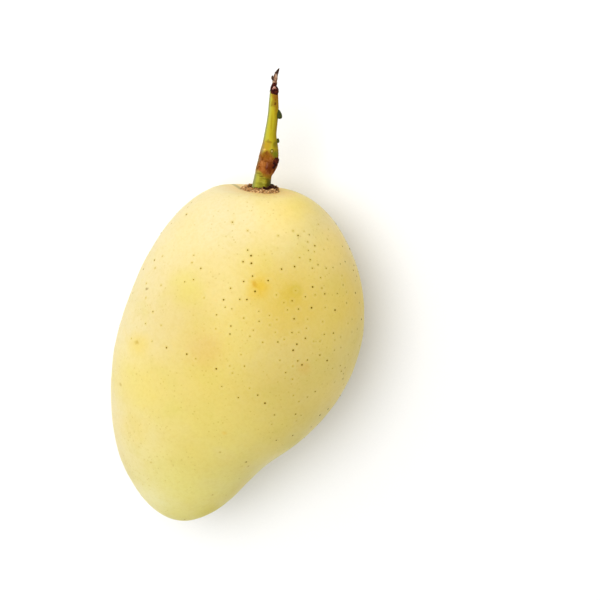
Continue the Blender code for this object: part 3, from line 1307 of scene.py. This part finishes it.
@dataclass
class Shoot:
    """A round shoot swept through knots, with ridges along it and lumpy bark on part of it."""

    name: str
    seat: Seat
    knots: tuple[Knot, ...]
    steps: int = 260
    sides: int = 72
    knot_steps: int = 20
    ridge_size: float = 0.9 * MM
    ridge_height: float = 0.10 * MM
    ridge_stretch: float = 0.10
    lump_size: float = 1.3 * MM
    lump_height: float = 0.0
    lumps_from: float = 0.0
    lumps_to: float = 1.0
    lumps_ease: float = 1.3 * MM
    tone: float = 0.5

    def tube(self, tree: PieceTree) -> Socket:
        """Sweeps the smooth shoot.

        Args:
            tree: The tree, whose incoming geometry is the path.

        Returns:
            The closed tube, which holds its own tone and how far right each point faces.
        """
        path = tree.out("GeometryNodeCurveSplineType", {"Curve": tree.given}, spline_type="CATMULL_ROM")
        path = tree.out("GeometryNodeSetSplineResolution", {"Geometry": path, "Resolution": self.knot_steps})
        path = tree.out("GeometryNodeResampleCurve", {"Curve": path, "Count": tree.size("Steps", self.steps)})
        sides = {"Resolution": tree.size("Sides", self.sides), "Radius": 1.0}
        sweep = {
            "Curve": path,
            "Profile Curve": tree.out("GeometryNodeCurvePrimitiveCircle", sides),
            "Scale": tree.out("GeometryNodeInputRadius"),
            "Fill Caps": True,
        }
        facing = tree.vector("DOT_PRODUCT", tree.out("GeometryNodeInputNormal"), self.seat.right)
        tube = tree.store(tree.out("GeometryNodeCurveToMesh", sweep), "side", facing)
        return tree.store(tube, "tone", tree.size("Tone", self.tone))

    def weathered(self, tree: PieceTree, tube: Socket) -> Socket:
        """Gives the smooth shoot its ridges and lumps.

        Args:
            tree: The tree.
            tube: The smooth shoot.

        Returns:
            The uneven shoot.
        """
        _, _, out = self.seat.read(tree, tree.place)
        size = tree.size("Ridge Size", self.ridge_size)
        ridges = tree.centred(self.seat.streaks(tree, self.ridge_stretch, size))
        lumps = tree.relief("Lump", self.lump_size, self.lump_height, **BARK_LUMPS)
        start, end = tree.size("Lumps From", self.lumps_from), tree.size("Lumps To", self.lumps_to)
        coming = tree.ramp(out, start, tree.math("ADD", start, self.lumps_ease))
        going = tree.ramp(out, end, tree.math("SUBTRACT", end, self.lumps_ease))
        height = tree.size("Ridge Height", self.ridge_height)
        return tree.swell(tube, tree.math("MULTIPLY_ADD", ridges, height, tree.product(lumps, coming, going)))

    def mesh(self, finish: Material) -> Mesh:
        """Makes the shoot's mesh in its place.

        Args:
            finish: What it is dressed in.

        Returns:
            The plain mesh.
        """
        places = [self.seat.point(k.right_mm * MM, k.up_mm * MM, k.out_mm * MM) for k in self.knots]
        path = add_path(self.name, places, [k.radius_mm * MM for k in self.knots])
        tree = PieceTree(self.name)
        return tree.make(self.weathered(tree, self.tube(tree)), finish, path)


@dataclass
class Knob:
    """A lumpy knob sunk into the stalk's side: a scab or the stub of a fallen side stalk."""

    name: str
    seat: Seat
    middle_mm: tuple[float, float, float]  # right, up and outward of the seat
    half_mm: tuple[float, float, float]
    lean: float = 0.0  # how far its outer end leans to the right for each millimetre outward
    taper: float = 0.0
    lump_size: float = 0.7 * MM
    lump_height: float = 0.25 * MM
    tone: float = 0.3
    side_points: int = 21

    def mesh(self, finish: Material) -> Mesh:
        """Makes the knob's mesh in its place.

        Args:
            finish: What it is dressed in.

        Returns:
            The plain mesh.
        """
        tree = PieceTree(self.name)
        cube, direction = tree.ball(tree.size("Side Points", self.side_points))
        nx, ny, nz = tree.split(direction)
        half_right, half_up, half_out = tree.split(tree.size("Half Size", Vector(self.half_mm) * MM))
        thinner = tree.math("MULTIPLY_ADD", nz, -self.taper, 1.0)
        out = tree.product(nz, half_out)
        leaning = tree.math("MULTIPLY", out, tree.size("Lean", self.lean))
        right = tree.math("ADD", tree.product(nx, half_right, thinner), leaning)
        up = tree.product(ny, half_up, thinner, -1.0)
        middle = tree.size("Middle", self.seat.point(*(part * MM for part in self.middle_mm)))
        spread = tree.vector("SUBTRACT", self.seat.put(tree, right, up, out), self.seat.middle)
        knob = tree.put(cube, tree.vector("ADD", middle, spread))
        knob = tree.swell(knob, tree.relief("Lump", self.lump_size, self.lump_height, **BARK_LUMPS))
        return tree.make(tree.store(knob, "tone", tree.size("Tone", self.tone)), finish)


Parts = list[tuple[Shoot | Knob | Material | Slot | str, ...]]


@dataclass(frozen=True)
class BlotchAndPaintedLight:
    """An oval mark on the stalk's upper side, in millimetres right and outward of the seat; most are its own
    colour, some are painted shade and highlight.
    """

    right_mm: float
    out_mm: float
    half_width_mm: float
    half_length_mm: float
    shade: str
    strength: float
    outer: float = 1.25  # where it begins, in shares of its half sizes
    inner: float = 0.30  # where it is at its strongest

    @property
    def wash(self) -> Wash:
        """The mark's colour, which comes in towards its middle."""
        return Wash(self.shade, self.outer, self.inner, self.strength)


@dataclass(frozen=True)
class Bark:
    """The finish of the live stalk: yellow green, with a rough orange brown patch above its foot, and painted
    light and shade across it.
    """

    foot: str = "8A8220"
    green: Wash = Wash("B4A41C", 2.5 * MM, 9.0 * MM)
    bright_streaks: Wash = Wash("B4B442", 0.50, 0.72, 0.55)
    olive_streaks: Wash = Wash("927A0C", 0.46, 0.28, 0.55)
    # painted light and shade by which way the stalk faces: olive on the right, away from the light, paler on
    # the left towards it, and a darker grey green at the far left edge
    shade_side: Wash = Wash("927A0C", 0.0, 0.95, 0.85)
    lit_side: Wash = Wash("B4B442", -0.10, -0.60, 0.60)
    shaded_left_edge: Wash = Wash("868A50", -0.55, -0.90, 0.90)
    grit: Wash = Wash("6B5A14", 0.55, 0.75, 0.25)
    streaked: Soft = Soft(0.8 * MM, 3.0)
    streak_stretch: float = 0.08
    lumpy: Soft = Soft(1.3 * MM, 4.0, 0.62, 0.4)
    gritty: Soft = Soft(0.35 * MM, 3.0, 0.6)
    lump_share: float = 2.0  # how much stronger the lumps' relief is on the patch than the streaks'
    wander_size: float = 1.8 * MM
    wander: float = 1.1 * MM
    upper_side: Fade = Fade(-1.0 * MM, 0.3 * MM)
    patch: str = "8C4C12"
    patch_light: Wash = Wash("A86C3A", 0.44, 0.62)
    patch_dark: Wash = Wash("4C1C06", 0.49, 0.36)
    patch_flecks: Wash = Wash("4C1C06", 0.56, 0.68, 0.70)
    flecked: Soft = Soft(0.5 * MM, 3.0, 0.65)
    fleck_stretch: float = 0.3
    patch_slant: float = 0.35
    patch_slant_from: float = 1.2 * MM
    patch_lower: Fade = Fade(3.6 * MM, 6.8 * MM)
    patch_upper: Fade = Fade(14.2 * MM, 10.8 * MM)
    blotches_and_painted_light: tuple[BlotchAndPaintedLight, ...] = (
        BlotchAndPaintedLight(-0.6, 5.4, 1.2, 1.2, "9A9430", 0.70),
        BlotchAndPaintedLight(0.9, 14.6, 1.9, 1.9, "B08A1E", 0.85),
        BlotchAndPaintedLight(-1.0, 11.6, 0.7, 2.6, "86684C", 0.80),
        BlotchAndPaintedLight(-0.4, 14.6, 0.6, 2.4, "927A50", 0.75),
        BlotchAndPaintedLight(0.2, 13.6, 0.5, 0.4, "E0B060", 0.80),
        BlotchAndPaintedLight(1.1, 11.4, 2.0, 1.9, "7E4A0A", 0.80),
        BlotchAndPaintedLight(0.4, 7.0, 1.6, 1.8, "8C4C10", 0.60),
        BlotchAndPaintedLight(1.2, 12.3, 0.4, 0.7, "6A3210", 0.60),
        BlotchAndPaintedLight(-1.4, 9.8, 0.5, 3.0, "7C6A44", 0.80),
        BlotchAndPaintedLight(0.4, 8.4, 0.9, 2.0, "B4723A", 0.50),
        # painted highlight: a pale mauve streak along the rough patch
        BlotchAndPaintedLight(1.7, 8.4, 0.4, 1.4, "A06C5E", 0.60),
        BlotchAndPaintedLight(2.8, 8.0, 1.7, 2.6, "5C2208", 0.80),
        BlotchAndPaintedLight(3.9, 12.2, 1.2, 1.4, "6E7014", 0.95),
        BlotchAndPaintedLight(1.6, 15.9, 1.1, 0.45, "7E5C10", 0.60),
        BlotchAndPaintedLight(3.7, 15.2, 0.9, 1.2, "5A520E", 0.60),
        # painted shade in the ring wrinkles above the foot, with a painted highlight on one crest, the pale
        # line
        BlotchAndPaintedLight(0.4, 2.6, 2.2, 0.35, "6E7018", 0.55),
        BlotchAndPaintedLight(1.4, 4.0, 2.0, 0.30, "6A5C14", 0.60),
        BlotchAndPaintedLight(1.0, 3.2, 1.6, 0.25, "B4AC48", 0.40),
        BlotchAndPaintedLight(3.1, 28.2, 0.80, 4.0, "94600E", 0.75),
        BlotchAndPaintedLight(2.4, 28.4, 1.2, 2.2, "8E7012", 0.85),
        BlotchAndPaintedLight(1.9, 27.4, 0.35, 0.5, "7A5A10", 0.60),
        BlotchAndPaintedLight(2.8, 27.8, 0.35, 0.45, "5C2E0A", 0.90),
        BlotchAndPaintedLight(2.7, 29.2, 0.40, 0.40, "6C380C", 0.80),
        BlotchAndPaintedLight(2.3, 30.3, 1.2, 1.4, "8A5212", 0.80),
        # painted shade: dark olive at the right of the stalk's foot, away from the light
        BlotchAndPaintedLight(2.6, 2.4, 1.2, 2.4, "46420A", 0.85),
        # painted shade in the ring wrinkle
        BlotchAndPaintedLight(0.2, 4.9, 1.0, 0.28, "5A4A10", 0.85),
        BlotchAndPaintedLight(-0.9, 5.6, 0.9, 0.25, "5A4A10", 0.60),
        BlotchAndPaintedLight(1.6, 5.2, 1.4, 0.7, "9A6A1E", 0.70),
    )
    scar_right: float = 2.87 * MM
    scar_out: float = 13.1 * MM
    scar_narrowness: float = 1.5
    scar_ring: Wash = Wash("3E2C0C", 0.30 * MM, 0.48 * MM)
    scar_ring_outside: Fade = Fade(0.80 * MM, 0.62 * MM)
    scar_gappy: Soft = Soft(0.7 * MM)
    scar_gaps: Fade = Fade(0.36, 0.56, 0.15, 0.85)
    scar_middle: Wash = Wash("C2A86A", 0.42 * MM, 0.25 * MM, 0.70)
    roughness: Fade = Fade(0.0, 1.0, 0.46, 0.85)
    relief: float = 0.05 * MM

    def make(self, seat: Seat) -> Material:
        """Builds the material, which is laid out from the stalk's seat.

        Args:
            seat: Where the stalk stands.

        Returns:
            The material.
        """
        bark = Finish("stalk_bark", Specular_IOR_Level=0.05)
        _, up, out = seat.read(bark, bark.place)
        far_right, _, far_out = seat.read(bark, bark.drift(bark.place, self.wander_size, self.wander))
        streaks = seat.streaks(bark, self.streak_stretch, *astuple(self.streaked))
        lumps = bark.soft(self.lumpy)
        side = bark.stored("side")
        base = bark.layers(
            colour(self.foot),
            (self.green, out),
            (self.bright_streaks, streaks),
            (self.olive_streaks, streaks),
            (self.shade_side, side),
            (self.lit_side, side),
            (self.shaded_left_edge, side),
        )
        slanted = bark.math("SUBTRACT", far_right, self.patch_slant_from)
        slanted = bark.math("MULTIPLY_ADD", slanted, self.patch_slant, far_out)
        corky = bark.product(bark.fade(slanted, self.patch_lower), bark.fade(far_out, self.patch_upper))
        base = bark.mix(corky, base, self.cork(bark, seat, lumps))
        upper = bark.fade(up, self.upper_side)
        for stalk_patch in self.blotches_and_painted_light:
            aside = bark.math("SUBTRACT", far_right, stalk_patch.right_mm * MM)
            along = bark.math("SUBTRACT", far_out, stalk_patch.out_mm * MM)
            aside = bark.math("DIVIDE", aside, stalk_patch.half_width_mm * MM)
            along = bark.math("DIVIDE", along, stalk_patch.half_length_mm * MM)
            near = bark.vector("LENGTH", bark.join(aside, along, 0.0))
            base = bark.lay(base, stalk_patch.wash, near, upper)
        grit = bark.soft(self.gritty)
        base = bark.lay(self.scarred(bark, base, seat, upper), self.grit, grit)
        coarse = bark.math("MULTIPLY_ADD", corky, bark.math("MULTIPLY", lumps, self.lump_share), streaks)
        height = bark.math("ADD", coarse, grit)
        return bark.dress(base, bark.fade(corky, self.roughness), height, self.relief)

    def cork(self, bark: Finish, seat: Seat, lumps: Socket) -> Socket:
        """Returns the rough patch's colour.

        Args:
            bark: The finish that is being made.
            seat: Where the stalk stands.
            lumps: The bark's lumps.

        Returns:
            The colour.
        """
        flecks = seat.streaks(bark, self.fleck_stretch, *astuple(self.flecked))
        washes = ((self.patch_light, lumps), (self.patch_dark, lumps), (self.patch_flecks, flecks))
        return bark.layers(colour(self.patch), *washes)

    def scarred(self, bark: Finish, base: Socket, seat: Seat, upper: Socket) -> Socket:
        """Lays the scar of a fallen side stalk: a broken dark ring round a pale middle.

        Args:
            bark: The finish that is being made.
            base: The colour under it.
            seat: Where the stalk stands.
            upper: How much of the stalk's upper side a place is.

        Returns:
            The colour on top.
        """
        right, _, out = seat.read(bark, bark.place)
        aside = bark.math("MULTIPLY", bark.math("SUBTRACT", right, self.scar_right), self.scar_narrowness)
        along = bark.math("SUBTRACT", out, self.scar_out)
        away = bark.vector("LENGTH", bark.join(aside, along, 0.0))
        broken = bark.fade(bark.soft(self.scar_gappy), self.scar_gaps)
        base = bark.lay(base, self.scar_ring, away, bark.fade(away, self.scar_ring_outside), upper, broken)
        return bark.lay(base, self.scar_middle, away, upper)


@dataclass(frozen=True)
class DryFibre:
    """The finish of the withered end: beige and brown strands that end black."""

    name: str = "dry_fibre"
    brown: str = "7C5236"
    black_from: float = 36.5 * MM
    light: Wash = Wash("C4A084", 0.42, 0.62)
    patches: Wash = Wash("240C06", 0.45, 0.30, 0.80)
    # painted shade: each strand darkens along both its sides, by which way it faces
    shaded_edges: Wash = Wash("240C06", 0.45, 0.90, 0.80)
    black: Wash = Wash("240C06", 0.0, 0.9 * MM, 0.90)
    streaked: Soft = Soft(0.35 * MM, 3.0)
    streak_stretch: float = 0.15
    patchy: Soft = Soft(0.9 * MM, 3.0)
    wander: float = 1.6 * MM
    roughness: Fade = Fade(0.2, 0.8, 0.65, 0.85)
    relief: float = 0.05 * MM

    def make(self, seat: Seat) -> Material:
        """Builds the material, which darkens outward along the stalk.

        Args:
            seat: Where the stalk stands.

        Returns:
            The material.
        """
        fibre = Finish(self.name, Specular_IOR_Level=0.2)
        _, _, out = seat.read(fibre, fibre.place)
        streaks = seat.streaks(fibre, self.streak_stretch, *astuple(self.streaked))
        patches = fibre.soft(self.patchy)
        wandering = fibre.math("MULTIPLY_ADD", fibre.centred(patches), self.wander, out)
        base = fibre.layers(
            colour(self.brown),
            (self.light, streaks),
            (self.patches, patches),
            (self.shaded_edges, fibre.math("ABSOLUTE", fibre.stored("side"))),
            (self.black, fibre.math("SUBTRACT", wandering, self.black_from)),
        )
        return fibre.dress(base, fibre.fade(streaks, self.roughness), streaks, self.relief)


@dataclass(frozen=True)
class Stub:
    """The finish of a fallen side stalk's stub: dull grey green, browner in its hollows."""

    name: str
    green: str = "353C12"
    grey: Wash = Wash("4E5226", 0.42, 0.62)
    brown: Wash = Wash("241C0A", 0.48, 0.32, 0.70)
    patchy: Soft = Soft(0.8 * MM, 3.0, 0.6)
    gritty: Soft = Soft(0.3 * MM, 3.0, 0.6)
    roughness: Fade = Fade(0.2, 0.8, 0.5, 0.7)
    relief: float = 0.04 * MM

    def make(self) -> Material:
        """Builds the material.

        Returns:
            The material.
        """
        stub = Finish(self.name, Specular_IOR_Level=0.1)
        grit = stub.soft(self.gritty)
        base = stub.layers(colour(self.green), (self.grey, stub.soft(self.patchy)), (self.brown, grit))
        return stub.dress(base, stub.fade(grit, self.roughness), grit, self.relief)


@dataclass
class Stalk:
    """The stalk from its foot in the collar to its withered end."""

    seat: Seat
    stem: tuple[Knot, ...] = (
        Knot(0.30, 0.12, 0.00, 3.00),
        Knot(1.70, 0.31, 0.00, 2.88),
        Knot(2.80, 0.40, 0.00, 2.81),
        Knot(4.00, 0.50, 0.03, 2.72),
        Knot(5.10, 0.62, 0.06, 2.68),
        Knot(6.30, 0.88, 0.10, 2.84),
        Knot(7.40, 1.28, 0.14, 3.05),
        Knot(8.60, 1.62, 0.18, 3.20),
        Knot(9.70, 1.82, 0.25, 3.20),
        Knot(10.9, 1.90, 0.28, 3.12),
        Knot(13.2, 1.98, 0.35, 2.80),
        Knot(15.5, 1.96, 0.40, 2.34),
        Knot(17.8, 1.86, 0.45, 1.96),
        Knot(20.4, 2.00, 0.50, 1.78),
        Knot(23.1, 2.16, 0.50, 1.70),
        Knot(25.4, 2.24, 0.50, 1.66),
        Knot(27.7, 2.12, 0.43, 1.55),
        Knot(30.0, 2.00, 0.35, 1.38),
        Knot(31.6, 1.94, 0.28, 1.26),
        Knot(32.6, 1.88, 0.24, 1.06),
        Knot(33.1, 1.86, 0.22, 0.60),
    )
    husk: tuple[Knot, ...] = (
        Knot(30.2, 2.05, 0.36, 1.05),
        Knot(31.1, 2.05, 0.36, 1.30),
        Knot(31.9, 2.02, 0.30, 1.34),
        Knot(32.6, 1.86, 0.25, 1.20),
        Knot(33.3, 1.78, 0.18, 0.90),
        Knot(33.9, 1.84, 0.12, 0.45),
    )
    tip: tuple[Knot, ...] = (
        Knot(36.0, 2.14, -0.12, 0.44),
        Knot(36.9, 2.24, -0.16, 0.52),
        Knot(37.6, 2.40, -0.18, 0.50),
        Knot(38.3, 2.68, -0.18, 0.34),
        Knot(38.9, 2.98, -0.16, 0.10),
    )
    thorn: tuple[Knot, ...] = (
        Knot(34.8, 1.75, 0.00, 0.28),
        Knot(35.3, 1.36, 0.15, 0.42),
        Knot(35.9, 1.10, 0.22, 0.42),
        Knot(36.5, 1.02, 0.26, 0.16),
    )
    strands: int = 3
    strand_start: Knot = Knot(32.6, 1.76, 0.20, 0.52)  # on the line that they are twisted round
    strand_end: Knot = Knot(37.6, 2.18, -0.15, 0.34)
    apart_start_mm: float = 0.44
    apart_end_mm: float = 0.22
    strand_steps: int = 12
    twist: float = 1.1  # turns of the dry strands round each other

    def strand(self, number: int) -> tuple[Knot, ...]:
        """Lays one of the dry strands that are twisted round each other.

        Args:
            number: Which of them, from 0.

        Returns:
            Its knots.
        """
        knots = []
        for step in range(self.strand_steps + 1):
            share = step / self.strand_steps
            turn = 2 * math.pi * (number / self.strands + self.twist * share)
            apart = self.apart_start_mm + (self.apart_end_mm - self.apart_start_mm) * share
            middle = self.strand_start.towards(self.strand_end, share)
            right, up = middle.right_mm + apart * math.cos(turn), middle.up_mm + apart * math.sin(turn)
            knots.append(replace(middle, right_mm=right, up_mm=up))
        return tuple(knots)

    def stem_parts(self) -> Parts:
        """Lists the live stem with its scab and stubs.

        Returns:
            Each part's shape, finish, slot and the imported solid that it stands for.
        """
        seat = self.seat
        stem = Shoot("stalk", seat, self.stem, lump_height=0.55 * MM, lumps_from=4.9 * MM, lumps_to=14.0 * MM)
        scab = Knob(
            "stalk_scab",
            seat,
            (3.82, 1.95, 9.1),
            (1.22, 1.20, 2.05),
            lean=0.32,
            taper=-0.22,
            lump_height=0.5 * MM,
            tone=0.5,
        )
        shape = {"taper": 0.35, "lump_height": 0.12 * MM}
        upper = Knob("upper_stub", seat, (4.04, 0.80, 24.65), (0.95, 0.85, 1.50), lean=-0.18, **shape)
        lower = Knob("lower_stub", seat, (4.35, 0.50, 16.3), (0.50, 0.50, 0.78), **shape)
        return [
            (stem, Bark().make(seat), Slot.STALK, "stem"),
            (scab, Crust("scab", "5E2410", "300C06", "100302").make(), Slot.CORK),
            (upper, Stub("upper_stub").make(), Slot.STALK),
            (lower, Stub("lower_stub").make(), Slot.STALK),
        ]

    def withered_parts(self) -> Parts:
        """Lists the husk, scale, knuckle, strands, tip and thorn of the withered end.

        Returns:
            Each part's shape, finish and slot.
        """
        seat = self.seat
        withered = Crust("withered", "56200F", "380806", "160203").make()
        flaky = Crust("dry_scale", "DCAE9E", "A8705E", "3A1412").make()
        fibre = DryFibre().make(seat)
        black = DryFibre("black_fibre", black_from=34 * MM).make(seat)
        flakes = {"lump_height": 0.7 * MM, "lumps_from": 27 * MM, "lumps_to": 36 * MM}
        husk = Shoot("dry_husk", seat, self.husk, steps=60, sides=60, **flakes)
        scale = Knob("dry_scale", seat, (2.0, 1.15, 32.5), (0.68, 0.40, 0.72), tone=0.6)
        lumpy = {"lump_height": 0.3 * MM, "tone": 0.6}
        knuckle = Knob("dry_knuckle", seat, (1.90, 0.6, 33.8), (0.70, 0.60, 0.52), **lumpy)
        parts = [(husk, withered), (scale, flaky), (knuckle, withered)]
        thin = {"ridge_size": 0.3 * MM}
        for number in range(self.strands):
            name = f"dry_strand_{number + 1}"
            parts.append((Shoot(name, seat, self.strand(number), steps=90, sides=16, **thin), fibre))
        for name, knots, finish in (("dry_tip", self.tip, fibre), ("dry_thorn", self.thorn, black)):
            parts.append((Shoot(name, seat, knots, steps=50, sides=20, **thin), finish))
        return [(shape, finish, Slot.CORK) for shape, finish in parts]

    def build(self) -> None:
        """Makes the stalk's pieces."""
        for shape, finish, slot, *replaced in self.stem_parts() + self.withered_parts():
            add_piece(shape.name, shape.mesh(finish), slot, *replaced)


# ------------------------------------------------------------------ the studio


@dataclass
class Studio:
    """A plain pale floor, soft white light from the upper left, and the camera that looks down."""

    aim: Vector = Vector((14.67, 17.14, 33.3)) * MM
    distance: float = 0.6
    tilt: float = math.radians(12.0)
    roll: float = math.radians(12.44)
    lens_mm: float = 112.55
    floor_side: float = 6.0
    sky: float = 0.95
    sky_slope: float = 0.48  # how much brighter it is on the bright side than in the middle
    dimmer_overhead: float = 0.42
    bright_side: Vector = Vector((-0.75, 0.60, 0.0))  # upper left in the camera's view
    wall: float = 0.26  # how much a pale wall low on the other side adds
    wall_side: Vector = Vector((0.72, -0.62, 0.10))
    wall_sharpness: float = 4.0
    key_power: float = 10.9
    key_width: float = 0.80
    key_place: Vector = Vector((-0.31, 0.27, 1.30))
    sensor_mm: float = 36.0
    nearest: float = 0.01
    paper: str = "F4F4F4"
    paper_light: str = "F8F8F8"
    paper_fibres: Soft = Soft(0.8 * MM)
    paper_roughness: Fade = Fade(0.2, 0.8, 0.85, 0.95)
    paper_relief: float = 0.01 * MM

    def build(self) -> None:
        """Sets up the whole studio."""
        self.add_camera()
        self.add_floor()
        self.add_light()
        bpy.context.scene.view_settings.view_transform = "Standard"

    def add_camera(self) -> None:
        """Adds the camera, which leans towards the stalk's end and is rolled a little."""
        camera = bpy.data.cameras.new("camera")
        camera.lens = self.lens_mm
        camera.sensor_width = self.sensor_mm
        camera.clip_start = self.nearest
        viewer = add_object("camera", camera)
        back = Vector((0, math.sin(self.tilt), math.cos(self.tilt)))
        straight_up = Vector((0, math.cos(self.tilt), -math.sin(self.tilt)))
        up = straight_up * math.cos(self.roll) - Vector((1, 0, 0)) * math.sin(self.roll)
        side = up.cross(back)
        viewer.matrix_world = Matrix((side, up, back)).transposed().to_4x4()
        viewer.location = self.aim + back * self.distance
        bpy.context.scene.camera = viewer

    def add_floor(self) -> None:
        """Adds the floor."""
        half = self.floor_side / 2
        corners = [(-half, -half, 0), (half, -half, 0), (half, half, 0), (-half, half, 0)]
        mesh = bpy.data.meshes.new("floor")
        mesh.from_pydata(corners, [], [(0, 1, 2, 3)])
        paper = Finish("white_paper")
        fibres = paper.soft(self.paper_fibres)
        white = paper.mix(fibres, colour(self.paper), colour(self.paper_light))
        rough = paper.fade(fibres, self.paper_roughness)
        mesh.materials.append(paper.dress(white, rough, fibres, self.paper_relief))
        add_object("floor", mesh)

    def add_light(self) -> None:
        """Adds the white sky and a large soft lamp."""
        self.add_sky()
        lamp = bpy.data.lights.new("key", "AREA")
        lamp.shape = "DISK"
        lamp.size = self.key_width
        lamp.energy = self.key_power
        key = add_object("key", lamp)
        key.location = self.key_place
        key.rotation_euler = (-self.key_place).to_track_quat("-Z", "Y").to_euler()

    def add_sky(self) -> None:
        """Adds a white sky that is brighter on one side, with the glow of a low wall on the other."""
        world = bpy.data.worlds.new("studio")
        world.use_nodes = True
        background = world.node_tree.nodes["Background"]
        background.inputs["Color"].default_value = (1, 1, 1, 1)
        sky = Graph(world.node_tree)
        direction = sky.node("ShaderNodeTexCoord").outputs["Generated"]
        brighter = sky.vector("DOT_PRODUCT", direction, self.bright_side.normalized())
        overhead = sky.math("MAXIMUM", sky.split(direction)[2], 0.0)
        even = sky.math("MULTIPLY_ADD", overhead, -self.dimmer_overhead, self.sky)
        facing = sky.math("MAXIMUM", sky.vector("DOT_PRODUCT", direction, self.wall_side.normalized()), 0.0)
        wall = sky.math("MULTIPLY", sky.math("POWER", facing, self.wall_sharpness), self.wall)
        strength = sky.math("MULTIPLY_ADD", brighter, self.sky_slope, even)
        strength = sky.math("ADD", sky.math("MAXIMUM", strength, 0.0), wall)
        sky.feed(background.inputs["Strength"], strength)
        bpy.context.scene.world = world


def main() -> None:
    """Builds the mango's sub-assemblies in order."""
    logging.basicConfig(level=logging.INFO, format="%(name)s: %(message)s")
    Studio().build()
    girdle = Girdle.of_frame()
    seat = Seat(girdle.points[0], girdle.outward)
    Fruit(girdle, seat).build()
    Collar(seat).build()
    Stalk(seat).build()


if __name__ == "__main__":
    main()
